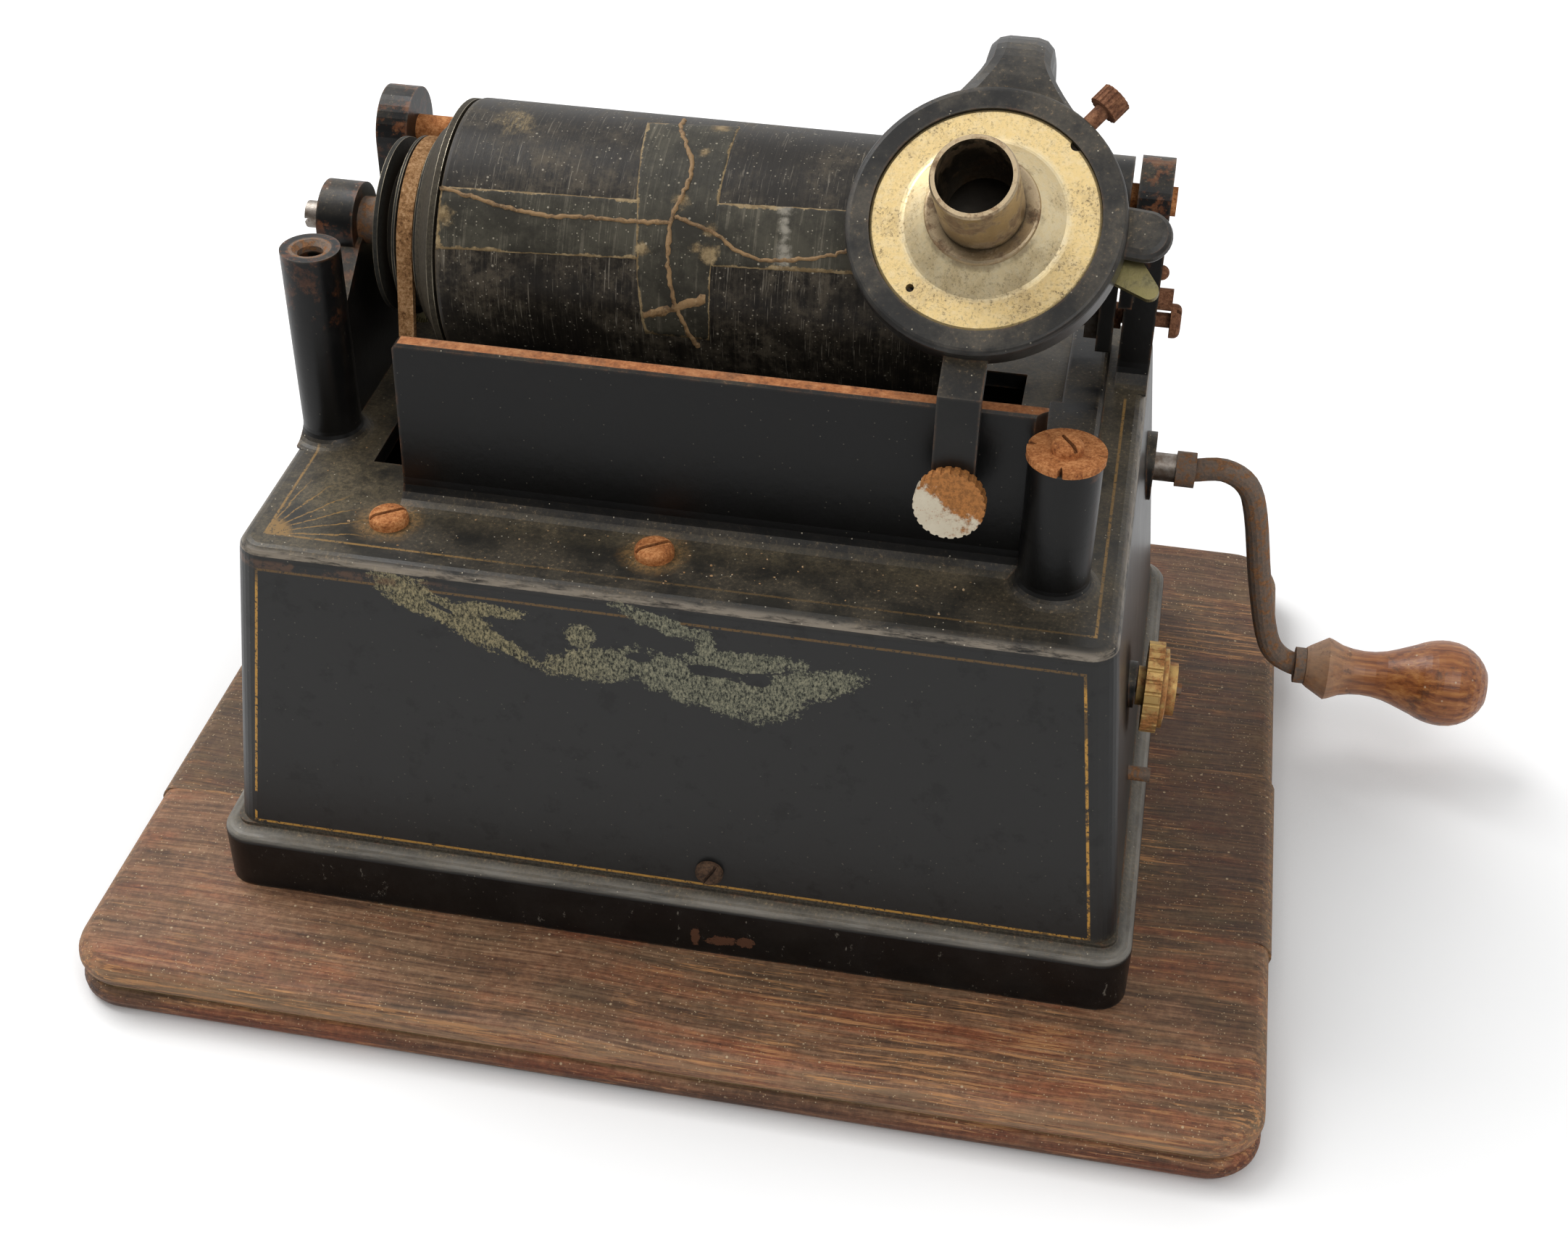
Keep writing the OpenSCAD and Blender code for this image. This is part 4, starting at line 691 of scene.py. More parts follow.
    def dirt(self, s: Shader, colour: Socket, deck: Socket, fine: Socket) -> Socket:
        """Brown dust in the deck's corners and round its screws, and dark wear along it.

        Args:
            s: The shader.
            colour: The colour so far.
            deck: Mask of the deck.
            fine: A fine cloud pattern.

        Returns:
            The new colour.
        """
        streaks = s.step(s.lines(Noise(1, 6, 0.72), 55, 260, 260), 0.42, 0.56)
        wear = s.both(deck, streaks, s.step(s.x, -66.0, -50.0), s.step(s.y, -42.0, -48.0))
        blotch = s.cloud(Noise(95, 6, 0.75))
        left, back = s.step(s.x, -62.0, -80.0), s.step(s.y, -50.5, -45.5)
        near = s.plus(s.both(left, 0.8), s.both(back, 0.6), clamp=True)
        brown = s.lay(s.step(fine, 0.4, 0.6), (0.072, 0.062, 0.042), (0.165, 0.130, 0.078))
        rusty = s.lay(s.step(fine, 0.42, 0.6), (0.12, 0.085, 0.042), (0.33, 0.19, 0.075))
        colour = s.coats(
            colour,
            (deck, 0.35, (0.062, 0.056, 0.044)),
            (wear, 0.42, (0.0150, 0.0140, 0.0130)),
            (s.both(deck, s.step(blotch, 0.36, 0.58), near), 0.75, brown),
        )
        for x, y in self.screws:
            away = s.plus(s.length(s.less(s.x, x), s.less(s.y, y)), s.both(blotch, 4.0))
            colour = s.coats(colour, (s.both(deck, s.step(away, 10.5, 6.0)), 0.75, rusty))
        return colour

    def front_wear(self, s: Shader, colour: Socket, front: Socket, rag: Socket) -> Tuple[Socket, Socket]:
        """The bare patch on the front, and chips and scuffs on the skirt.

        Args:
            s: The shader.
            colour: The colour so far.
            front: Mask of the front face.
            rag: A ragged pattern.

        Returns:
            The new colour and the mask of the bare patch.
        """
        tooth = s.lines(Noise(1, 4, 0.8), 900, 900, 1100)
        shape = s.less(self.within(s, self.worn), s.both(s.either(self.within(s, self.gaps), 0.0), 1.6))
        bare = s.both(front, s.step(s.plus(shape, s.sway(rag, 3.4), s.sway(tooth, 2.6)), 0.10, 0.30))
        hatch = s.lines(Noise(1, 3, 0.8), 2100, 2100, 1100)
        tones = [(0.38, (0.016, 0.015, 0.011)), (0.48, (0.145, 0.128, 0.076)), (0.64, (0.36, 0.30, 0.165))]
        ground = s.ramp(hatch, tones)
        ground = s.lay(s.both(s.step(s.x, -40.0, 0.0), 0.8), ground, (0.76, 0.90, 1.15), Blend.DARKEN)
        ahead = s.step(s.ny, -0.6, -0.9)
        chip = s.step(s.plus(self.within(s, self.chips), s.sway(rag, 4.0), s.sway(tooth, 2.5)), 0.20, 0.34)
        broken_streaks = s.step(s.lines(Noise(1, 5, 0.8), 380, 380, 200), 0.63, 0.68)
        colour = s.coats(
            colour,
            (bare, 0.96, ground),
            (s.both(ahead, chip, s.step(s.z, 25.5, 24.5)), 0.85, (0.115, 0.052, 0.030)),
            (s.both(s.band(s.z, 14.0, 16.0, 25.2, 26.2), broken_streaks), 0.6, (0.20, 0.185, 0.155)),
        )
        return colour, bare

    def edges(self, s: Shader, colour: Socket, fine: Socket, rag: Socket) -> Socket:
        """Painted highlights on the skirt's ridge and the deck's rim, dust over the skirt, rust under the
        rim.

        Args:
            s: The shader.
            colour: The colour so far.
            fine: A fine cloud pattern.
            rag: A ragged pattern.

        Returns:
            The new colour.
        """
        soft = s.step(s.lines(Noise(1, 5, 0.7), 45, 45, 500), 0.30, 0.66)
        ridge = s.both(s.level(SKIRT_TOP, -3.4, -2.1, -1.9, -0.8), s.step(s.nz, 0.02, 0.30))
        valley = s.both(s.level(SKIRT_TOP, -2.4, -1.0, 0.0, 1.8), s.step(s.nz, -0.2, 0.05))
        rim = s.both(s.level(DECK, -2.7, -1.7, -1.0, 0.0), s.step(s.nz, 0.15, 0.5))
        broken_streaks = s.step(s.lines(Noise(1, 5, 0.75), 120, 120, 900), 0.34, 0.58)
        left = s.both(s.step(s.y, -58.0, -60.0), s.step(s.x, -30.0, -60.0))
        under = s.both(s.level(DECK, -4.9, -3.9, -2.9, -2.1), left)
        silt = s.lay(s.step(fine, 0.42, 0.62), (0.034, 0.029, 0.021), (0.105, 0.086, 0.056))
        return s.coats(
            colour,
            (s.both(valley, s.between(soft, 0.35, 0.85)), 1.0, silt),
            # Painted highlight (sheen) along the skirt's ridge.
            (s.both(ridge, s.between(soft, 0.30, 0.95)), 1.0, (0.250, 0.232, 0.200)),
            # Painted highlight along the deck's front rim, broken up by streaks.
            (s.both(rim, broken_streaks), 0.8, (0.30, 0.255, 0.20)),
            (s.both(under, s.step(rag, 0.47, 0.58)), 0.6, (0.13, 0.068, 0.038)),
        )

    def marks(self, s: Shader, colour: Socket) -> Tuple[Socket, Value]:
        """Gold lines, the corner fan, the worn front, dirt, the rusty top of the wall, and painted light: a
        lighter front face and a darker guide wall.

        Args:
            s: The shader.
            colour: The colour so far.

        Returns:
            The new colour and the mask of what is matt.
        """
        ahead, up = s.step(s.ny, -0.6, -0.9), s.step(s.nz, 0.7, 0.95)
        front = s.both(ahead, s.step(s.y, -58.0, -60.5), s.step(s.z, SKIRT_TOP - 0.5, SKIRT_TOP + 0.5))
        deck = s.both(up, s.level(DECK, -0.9, -0.4, 0.5, 1.3))
        fine = s.cloud(Noise(1500, 4, 0.75))
        stain = s.step(s.cloud(Noise(120, 6, 0.72)), 0.54, 0.64)
        wall = s.both(ahead, s.step(s.z, DECK + 1.8, DECK + 2.8), s.step(s.y, -58.0, -55.0))
        seam = s.both(s.step(s.less(s.x, self.seam[0]), 0.0, 0.5), s.step(s.y, -40.0, -40.5))
        seam = s.both(seam, s.level(self.seam[1], -0.6, -0.1, 0.2, 0.7))
        colour = s.coats(
            colour,
            # Painted light: the front face is painted a lighter grey than the rest of the enamel, mottled by
            # a cloud.
            (front, 0.9, s.lay(stain, (0.0215, 0.0212, 0.0205), (0.0145, 0.0142, 0.0136))),
            # Painted shade: the guide wall's front is painted a darker black, more so towards its foot.
            (s.both(wall, s.between(s.step(s.z, 112.0, 124.0), 0.95, 0.6)), 1.0, (0.0022, 0.0021, 0.0021)),
            (seam, 0.8, (0.0010, 0.0010, 0.0010)),
        )
        colour = self.dirt(s, colour, deck, fine)
        colour = s.lay(self.gilding(s, front, deck), colour, s.lay(deck, self.gold, (0.30, 0.175, 0.058)))
        rag = s.lines(Noise(1, 6, 0.78), 170, 170, 210)
        colour, bare = self.front_wear(s, colour, front, rag)
        colour = self.edges(s, colour, fine, rag)
        on_wall = s.band(s.y, -45.0, -43.0, -31.0, -30.0)
        top = s.both(up, s.step(s.less(s.z, self.wall_top), -0.2, 0.3), on_wall)
        sides = s.either(s.step(s.x, -79.0, -80.0), s.step(s.x, 77.0, 78.0))
        knobs = s.both(s.step(s.z, 129.5, 130.0), s.step(s.nz, -0.2, 0.25), sides)
        patchy = s.step(s.cloud(Noise(190, 6, 0.72)), 0.50, 0.60)
        tones = [(0.32, (0.13, 0.045, 0.020)), (0.50, (0.40, 0.145, 0.050)), (0.70, (0.60, 0.28, 0.12))]
        rust = s.ramp(s.cloud(Noise(520, 6, 0.75)), tones)
        dull = s.lay(1.0, rust, (0.62, 0.55, 0.50), Blend.DARKEN)
        return s.coats(colour, (s.both(knobs, patchy), 0.5, dull), (top, 1.0, rust)), s.either(bare, top)


@dataclass(frozen=True)
class Rust(Finish):
    """Rusted steel, from a brown film to thick orange rust."""

    dark: Colour = (0.16, 0.050, 0.018)
    mid: Colour = (0.42, 0.150, 0.044)
    bright: Colour = (0.66, 0.30, 0.115)
    bare: float = 0.0
    scale: float = 420.0

    def paint(self, s: Shader) -> bpy.types.Material:
        """Mottled rust with a share of bare metal showing.

        Args:
            s: The shader.

        Returns:
            The finished material.
        """
        coarse = s.cloud(Noise(self.scale, 6, 0.72))
        fine = s.cloud(Noise(self.scale * 4, 5, 0.75))
        mixed = s.plus(s.both(coarse, 0.6), s.both(fine, 0.4))
        clean = s.both(s.step(coarse, 0.56, 0.50), self.bare)
        colour = s.coats(
            s.ramp(mixed, [(0.34, self.dark), (0.47, self.mid), (0.62, self.bright)]),
            (clean, 1.0, (0.30, 0.27, 0.235)),
            (s.hollows(2.5), 0.6, (0.035, 0.02, 0.014)),
        )
        relief = s.both(s.plus(coarse, fine), 0.5)
        return s.finish(colour, s.between(clean, 0.82, 0.42), s.both(clean, 0.8), relief, 0.22, 0.3)


@dataclass(frozen=True)
class Plated(Finish):
    """Worn plating over a base metal that shows through in spots."""

    plate: Colour = (0.62, 0.55, 0.44)
    under: Colour = (0.23, 0.13, 0.06)
    spots: float = 0.58
    shine: float = 0.26
    rim: float = 0.0
    # Reach in mm of the painted shade in the hollows.
    deep: float = 3.0
    rusty_above: float = 0.0

    def paint(self, s: Shader) -> bpy.types.Material:
        """Bright plating with stains and pits, left mostly at the edges where rim is high, and painted shade
        in its hollows.

        Args:
            s: The shader.

        Returns:
            The finished material.
        """
        wide = s.cloud(Noise(160, 6, 0.72))
        pits = s.cloud(Noise(1300, 4, 0.75))
        spotty = s.step(wide, self.spots - 0.06, self.spots + 0.07)
        stain = s.plus(spotty, s.both(s.step(pits, 0.60, 0.68), 0.6), clamp=True)
        if self.rim:
            stain = s.either(stain, s.both(s.less(1.0, s.corners(0.25)), self.rim))
        if self.rusty_above:
            height = s.plus(s.both(s.z, 0.85), s.both(s.less(s.x, ADJUSTER_X), 0.5), s.sway(wide, 14.0))
            stain = s.either(stain, s.step(height, self.rusty_above - 0.8, self.rusty_above + 0.8))
        bright = s.lay(s.both(wide, 0.5), self.plate, (0.40, 0.31, 0.19))
        dull = s.lay(s.step(pits, 0.4, 0.6), self.under, tuple(v * 1.7 for v in self.under))
        # Painted shade: the piece's hollows are darkened nearly to black.
        deep = s.step(s.hollows(self.deep), 0.15, 0.6)
        colour = s.coats(s.lay(stain, bright, dull), (deep, 0.92, (0.018, 0.012, 0.007)))
        rough = s.between(stain, s.between(wide, self.shine, self.shine + 0.16), 0.66)
        stained, shown = (0.08, 0.2) if self.rim else (0.45, 0.5)
        return s.finish(colour, rough, s.between(stain, 1.0, stained), pits, 0.05, shown)


@dataclass(frozen=True)
class Gilt(Finish):
    """The face plate: gold on its flat rim, silvery on its dished middle."""

    def paint(self, s: Shader) -> bpy.types.Material:
        """Gold leaf that is mottled with silver, by the distance from the eye's axis.

        Args:
            s: The shader.

        Returns:
            The finished material.
        """
        tilt = Matrix.Rotation(math.radians(EYE_TILT), 3, "X")
        yaw = Matrix.Rotation(math.radians(-EYE_YAW), 3, "Y")
        x, y, _ = s.parts(s.local(EYE, (tilt @ yaw).to_euler()))
        away = s.both(s.length(x, y), 1.0 / MM)
        wide = s.cloud(Noise(120, 6, 0.72))
        fine = s.cloud(Noise(1700, 5, 0.78))
        leaf = s.cloud(Noise(620, 6, 0.78))
        rim = s.step(away, 15.5, 17.2)
        silver = s.plus(s.both(s.less(1.0, rim), 0.70), s.both(s.step(leaf, 0.44, 0.62), 0.40), clamp=True)
        foul = s.plus(s.both(s.step(wide, 0.40, 0.60), 0.8), s.both(rim, 0.35), clamp=True)
        dirt = s.both(s.step(fine, 0.50, 0.64), foul)
        colour = s.coats(
            s.lay(silver, (0.68, 0.51, 0.24), (0.68, 0.575, 0.37)),
            (s.step(wide, 0.46, 0.66), 0.50, (0.42, 0.31, 0.16)),
            (dirt, 0.9, (0.20, 0.145, 0.075)),
            (s.both(s.step(away, 11.9, 11.2), s.step(wide, 0.35, 0.6)), 0.65, (0.26, 0.20, 0.12)),
        )
        rough = s.between(dirt, s.between(leaf, 0.32, 0.52), 0.68)
        relief = s.both(s.plus(leaf, fine), 0.6)
        return s.finish(colour, rough, s.between(dirt, 0.80, 0.35), relief, 0.07, 0.5)


@dataclass(frozen=True)
class Smeared(Finish):
    """A finish of the record, with dried smears on it."""

    smears: Tuple[Smear, ...] = ()

    def smear(self, s: Shader, blotch: Socket, places: Sequence[Smear]) -> Value:
        """Mask of dried smears, by their place along the record, degrees round it and size.

        Args:
            s: The shader.
            blotch: The pattern that makes them ragged.
            places: The smears.

        Returns:
            The mask.
        """
        best: Value = 0.0
        for x, turn, size in places:
            spot = record_point(x, turn)
            away = s.both(s.vector("DISTANCE", s.where, tuple(spot)).outputs["Value"], 1.0 / MM)
            ragged = s.less(away, s.sway(blotch, 4.0 + size * 2.6))
            best = s.either(best, s.step(ragged, size * 1.2 + 1.4, size * 0.5))
        return best

    def rings(self, s: Shader) -> Socket:
        """The fine grooves round the record."""
        return s.lines(Noise(1, 5, 0.68), 1500, 35, 35)

    def mould(self, s: Shader, blotch: Socket, share: float) -> Socket:
        """Mask of the specks of mould; share is how many of the small ones there are."""
        return s.either(s.both(s.dots(0.9, 0.15, share), s.step(blotch, 0.40, 0.58)), s.dots(2.6, 0.26, 0.35))


@dataclass(frozen=True)
class Wax(Smeared):
    """Black wax with rings of haze, mould spots, scuffs and dried smears."""

    def paint(self, s: Shader) -> bpy.types.Material:
        """Rings round the axis, haze on top and specks of mould.

        Args:
            s: The shader.

        Returns:
            The finished material.
        """
        rings = self.rings(s)
        haze = s.cloud(Noise(38, 7, 0.75))
        blotch = s.cloud(Noise(260, 6, 0.78))
        streaky = s.step(s.lines(Noise(1, 5, 0.8), 1300, 420, 420), 0.44, 0.60)
        ringed = s.both(s.step(rings, 0.42, 0.70), 0.22)
        cover = s.plus(s.both(s.step(blotch, 0.40, 0.64), 0.70), ringed, clamp=True)
        film = s.both(s.step(haze, 0.42, 0.62), cover, 0.85)
        streak = s.both(s.step(s.lines(Noise(1, 3, 0.7), 2600, 90, 90), 0.60, 0.67), s.step(haze, 0.36, 0.56))
        colour = s.coats(
            s.lay(s.step(rings, 0.20, 0.80), (0.0100, 0.0080, 0.0064), (0.0210, 0.0172, 0.0130)),
            (film, 1.0, (0.118, 0.096, 0.067)),
            (streak, 0.6, (0.24, 0.21, 0.165)),
            (self.mould(s, blotch, 0.75), 0.75, (0.36, 0.32, 0.25)),
            (s.both(self.smear(s, blotch, self.smears), streaky), 0.7, (0.25, 0.185, 0.095)),
            (s.corners(0.8), 0.6, (0.22, 0.15, 0.08)),
        )
        relief = s.plus(s.both(rings, 0.4), s.both(blotch, 0.6))
        return s.finish(colour, s.between(film, 0.40, 0.66), relief=relief, depth=0.08, specular=0.22)


@dataclass(frozen=True)
class Tape(Smeared):
    """Old tape on the record, dark in the middle with tan glue at its border."""

    white: Tuple[Smear, ...] = ()

    def paint(self, s: Shader) -> bpy.types.Material:
        """Reads the patch's own border value and breaks the tan line up.

        Args:
            s: The shader.

        Returns:
            The finished material.
        """
        near = s.add("ShaderNodeAttribute", attribute_name="border").outputs["Fac"]
        wide = s.cloud(Noise(75, 6, 0.75))
        blotch = s.cloud(Noise(320, 6, 0.78))
        rings = self.rings(s)
        uneven = s.step(wide, 0.44, 0.64)
        ragged = s.plus(near, s.both(s.less(blotch, 0.5), s.between(uneven, 0.35, 1.3)))
        line = s.step(s.less(ragged, s.between(uneven, 0.70, 0.24)), 0.0, 0.16)
        tan = s.lay(s.step(blotch, 0.42, 0.62), (0.19, 0.125, 0.055), (0.36, 0.265, 0.14))
        colour = s.coats(
            s.lay(s.step(wide, 0.38, 0.64), (0.026, 0.023, 0.016), (0.062, 0.056, 0.040)),
            (s.both(s.step(rings, 0.52, 0.64), s.step(wide, 0.4, 0.6)), 0.45, (0.20, 0.175, 0.13)),
            (self.mould(s, blotch, 0.7), 0.75, (0.38, 0.34, 0.26)),
            (line, 0.88, tan),
            (self.smear(s, blotch, self.smears), 0.8, tan),
            (self.smear(s, blotch, self.white), 0.75, (0.36, 0.33, 0.27)),
        )
        rough = s.between(wide, 0.44, 0.66)
        return s.finish(colour, rough, relief=s.plus(rings, blotch), depth=0.07, specular=0.24)


@dataclass(frozen=True)
class Glue(Finish):
    """Yellow-brown glue in the mended cracks."""

    colour: Colour = (0.29, 0.175, 0.078)

    def paint(self, s: Shader) -> bpy.types.Material:
        """Dull glue with darker and paler grains.

        Args:
            s: The shader.

        Returns:
            The finished material.
        """
        wide = s.cloud(Noise(300, 6, 0.72))
        fine = s.cloud(Noise(1800, 4, 0.75))
        colour = s.lay(s.step(wide, 0.36, 0.56), (0.12, 0.068, 0.030), self.colour)
        colour = s.coats(colour, (s.step(fine, 0.55, 0.66), 0.5, (0.42, 0.31, 0.17)))
        return s.finish(colour, 0.6, relief=fine, depth=0.12, specular=0.35)


@dataclass(frozen=True)
class Felt(Finish):
    """The belt: leather gone to rusty brown powder, with fibres along it."""

    def paint(self, s: Shader) -> bpy.types.Material:
        """Powdery brown with pale fibres.

        Args:
            s: The shader.

        Returns:
            The finished material.
        """
        wide = s.cloud(Noise(160, 6, 0.75))
        fine = s.cloud(Noise(1500, 5, 0.8))
        mixed = s.plus(s.both(wide, 0.4), s.both(fine, 0.6))
        tones = [(0.38, (0.10, 0.044, 0.018)), (0.50, (0.38, 0.200, 0.085)), (0.62, (0.66, 0.42, 0.23))]
        return s.finish(s.ramp(mixed, tones), 0.95, relief=s.plus(wide, fine), depth=0.40, specular=0.12)


@dataclass(frozen=True)
class Grip(Finish):
    """Varnished hardwood of the crank's grip, worn pale at the neck."""

    neck: float = 134.0

    def paint(self, s: Shader) -> bpy.types.Material:
        """Red-brown varnish with grain along X, a dusty neck and a dark foot.

        Args:
            s: The shader.

        Returns:
            The finished material.
        """
        grain = s.lines(Noise(1, 5, 0.66), 40, 800, 800)
        wide = s.cloud(Noise(60, 5, 0.68))
        worn = s.both(s.step(s.x, self.neck + 17.0, self.neck), s.step(wide, 0.32, 0.56))
        tones = [(0.34, (0.125, 0.030, 0.007)), (0.5, (0.31, 0.098, 0.022)), (0.66, (0.48, 0.200, 0.055))]
        colour = s.coats(
            s.ramp(grain, tones),
            (worn, 0.72, (0.44, 0.29, 0.185)),
            (s.step(s.cloud(Noise(170, 6, 0.74)), 0.54, 0.64), 0.6, (0.055, 0.024, 0.013)),
            (s.dots(2.2, 0.26, 0.4), 0.7, (0.58, 0.45, 0.30)),
        )
        rough = s.between(worn, s.between(wide, 0.26, 0.42), 0.68)
        return s.finish(colour, rough, relief=grain, depth=0.12, specular=0.5, coat=0.15)


@dataclass(frozen=True)
class Plain(Finish):
    """An even material such as rubber, mica or clean steel, with a light mottle."""

    colour: Colour = (0.3, 0.3, 0.3)
    other: Colour = (0.2, 0.2, 0.2)
    rough: float = 0.4
    metal: float = 1.0
    scale: float = 300.0

    def paint(self, s: Shader) -> bpy.types.Material:
        """Two close colours and a fine grain.

        Args:
            s: The shader.

        Returns:
            The finished material.
        """
        cloud = s.cloud(Noise(self.scale, 6, 0.68))
        fine = s.cloud(Noise(self.scale * 5, 4, 0.7))
        colour = s.lay(s.step(cloud, 0.36, 0.64), self.colour, self.other)
        return s.finish(colour, s.between(cloud, self.rough, self.rough + 0.2), self.metal, fine, 0.05)


JAPAN = Japan("black_enamel", dusty=0.22, rusty=0.2)
ARM = ArmJapan("black_enamel_arm", (0.018, 0.0172, 0.016), (0.052, 0.049, 0.044), dusty=0.45, rusty=0.25)
BODY = BodyJapan("black_enamel_body", dusty=0.42, rusty=0.38)
RUST = Rust("orange_rust")
GRIT = Rust("pale_grit", (0.20, 0.10, 0.045), (0.42, 0.24, 0.11), (0.62, 0.46, 0.28), scale=700.0)
BROWN_RUST = Rust("brown_rust", (0.060, 0.024, 0.013), (0.185, 0.075, 0.036), (0.35, 0.165, 0.085))
DIM_RUST = Rust("dim_rust", (0.022, 0.014, 0.010), (0.060, 0.034, 0.020), (0.13, 0.072, 0.040))
DARK_RUST = Rust("dark_rust", (0.040, 0.022, 0.014), (0.135, 0.068, 0.034), (0.32, 0.155, 0.070), 0.35)
SHAFT = Plain("oiled_steel", (0.30, 0.27, 0.24), (0.17, 0.13, 0.10), 0.34)
NICKEL = Plated("worn_nickel", (0.50, 0.39, 0.25), (0.16, 0.100, 0.052), spots=0.54, shine=0.27, deep=14.0)
FLANGE = Plated("flange_nickel", (0.62, 0.56, 0.44), (0.034, 0.028, 0.019), spots=0.62, shine=0.18, rim=1.0)
WHITE = Plated("white_plating", (0.88, 0.81, 0.66), (0.30, 0.125, 0.035), 0.58, 0.55, rusty_above=104.295)
BRASS = Plated("green_brass", (0.19, 0.175, 0.065), (0.17, 0.15, 0.075), 0.56, 0.40)
KNOB = Plated("rusty_brass", (0.66, 0.43, 0.15), (0.34, 0.155, 0.05), 0.52, 0.48)
PULLEY = Plated("worn_pulley", (0.34, 0.30, 0.23), (0.018, 0.017, 0.014), spots=0.60, shine=0.34, rim=1.0)
GILT = Gilt("gilt_plate")
WAX = Wax("black_wax", ((-46.5, 96.0, 3.2), (-6.2, 103.0, 2.2), (-48.0, 146.0, 2.6)))
TAPE = Tape(
    "old_tape",
    (
        (-6.7, 105.2, 0.2), (-4.8, 148.6, 0.1), (-5.3, 84.0, 1.4), (-2.3, 140.8, 0.4),
        (-2.3, 150.4, 1.0), (-15.7, 151.3, 0.5), (-9.1, 129.7, 0.6), (-57.0, 145.5, 1.2),
    ),
    (
        (11.9, 129.6, 0.5), (12.1, 133.5, 0.1), (12.3, 137.5, 0.0),
        (12.4, 141.5, 0.0), (12.6, 145.5, 0.2), (12.8, 149.7, 0.6),
    ),
)
GLUE = Glue("old_glue")
FELT = Felt("belt_felt")
GRIP = Grip("varnished_grip")
RUBBER = Plain("black_rubber", (0.02, 0.02, 0.02), (0.035, 0.033, 0.03), 0.7, 0.0)
MICA = Plain("mica", (0.050, 0.040, 0.028), (0.028, 0.022, 0.015), 0.3, 0.0, 120.0)

FINISHES: Dict[Finish, Sequence[str]] = {
    # Each oak board's last number is its painted brightness: painted light, set higher on the front board.
    Oak("oak_front", 0.0, 0.36, 1.70): ["base_board_front"],
    Oak("oak_middle", 0.7, 0.50, 0.80): ["base_board_middle"],
    Oak("oak_rear", 1.3, 0.50, 0.80): ["base_board_rear"],
    BODY: ["body_casting"],
    JAPAN: ["reproducer_body"],
    ARM: ["arm_casting"],
    RUST: ["column_disc", "column_screw", "deck_screws", "back_rod"],
    BROWN_RUST: ["feed_pivot_screw", "post_screws", "set_screw", "base_screws", "feed_screw"],
    DIM_RUST: ["face_screw"],
    DARK_RUST: [
        "stub_screw", "horn_column_bush", "crank_rod", "crank_bush",
        "speed_rod", "clamp_screw", "governor_spindle", "mandrel_bush",
    ],
    SHAFT: [
        "mandrel_pivot", "mandrel_shaft", "mandrel_drum", "idler_stud", "motor_pillars", "winding_shaft",
        "barrel_arbor", "second_arbor", "pulley_arbor", "stylus_bar", "half_nut",
        "motor_plate_left", "motor_plate_right",
    ],
    NICKEL: ["horn_tube", "spring_barrel", "reproducer_weight"],
    FLANGE: ["mandrel_flange"],
    WHITE: ["adjusting_screw"],
    BRASS: ["clamp_lever", "carriage_bush", "idler_gear", "feed_gear", "governor_weights"],
    KNOB: ["speed_knob"],
    PULLEY: ["mandrel_pulley", "motor_pulley"],
    GILT: ["reproducer_plate"],
    WAX: ["record_cylinder"],
    FELT: ["drive_belt"],
    GRIP: ["crank_grip"],
    RUBBER: ["lower_gasket", "upper_gasket"],
    MICA: ["diaphragm"],
}


def dress(nodes: Dict[str, bpy.types.Object]) -> None:
    """Gives every CAD node its finish.

    Args:
        nodes: The frame's nodes by name.
    """
    for finish, names in FINISHES.items():
        for name in names:
            slots = nodes[name].data.materials
            slots.clear()
            slots.append(finish.material())
    bare = sorted(set(nodes) - {n for names in FINISHES.values() for n in names})
    if bare:
        raise ValueError(f"no finish for {bare}")


def linked(name: str, data: bpy.types.ID) -> bpy.types.Object:
    """Makes an object of some data and links it to the scene.

    Args:
        name: The object's name.
        data: Its mesh, lamp or camera.

    Returns:
        The new object.
    """
    thing = bpy.data.objects.new(name, data)
    bpy.context.scene.collection.objects.link(thing)
    return thing


def new_piece(mesh: bpy.types.Mesh, finish: Finish, body: str) -> None:
    """Links a finished mesh as a piece of the same name that rides on a body.

    Args:
        mesh: The mesh, in metres in the part's frame.
        finish: Its finish.
        body: The body that carries it.
    """
    piece = linked(mesh.name, mesh)
    mesh.materials.clear()
    mesh.materials.append(finish.material())
    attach(piece, body)
    LOG.info("%s: %d faces on %s", mesh.name, len(mesh.polygons), body)


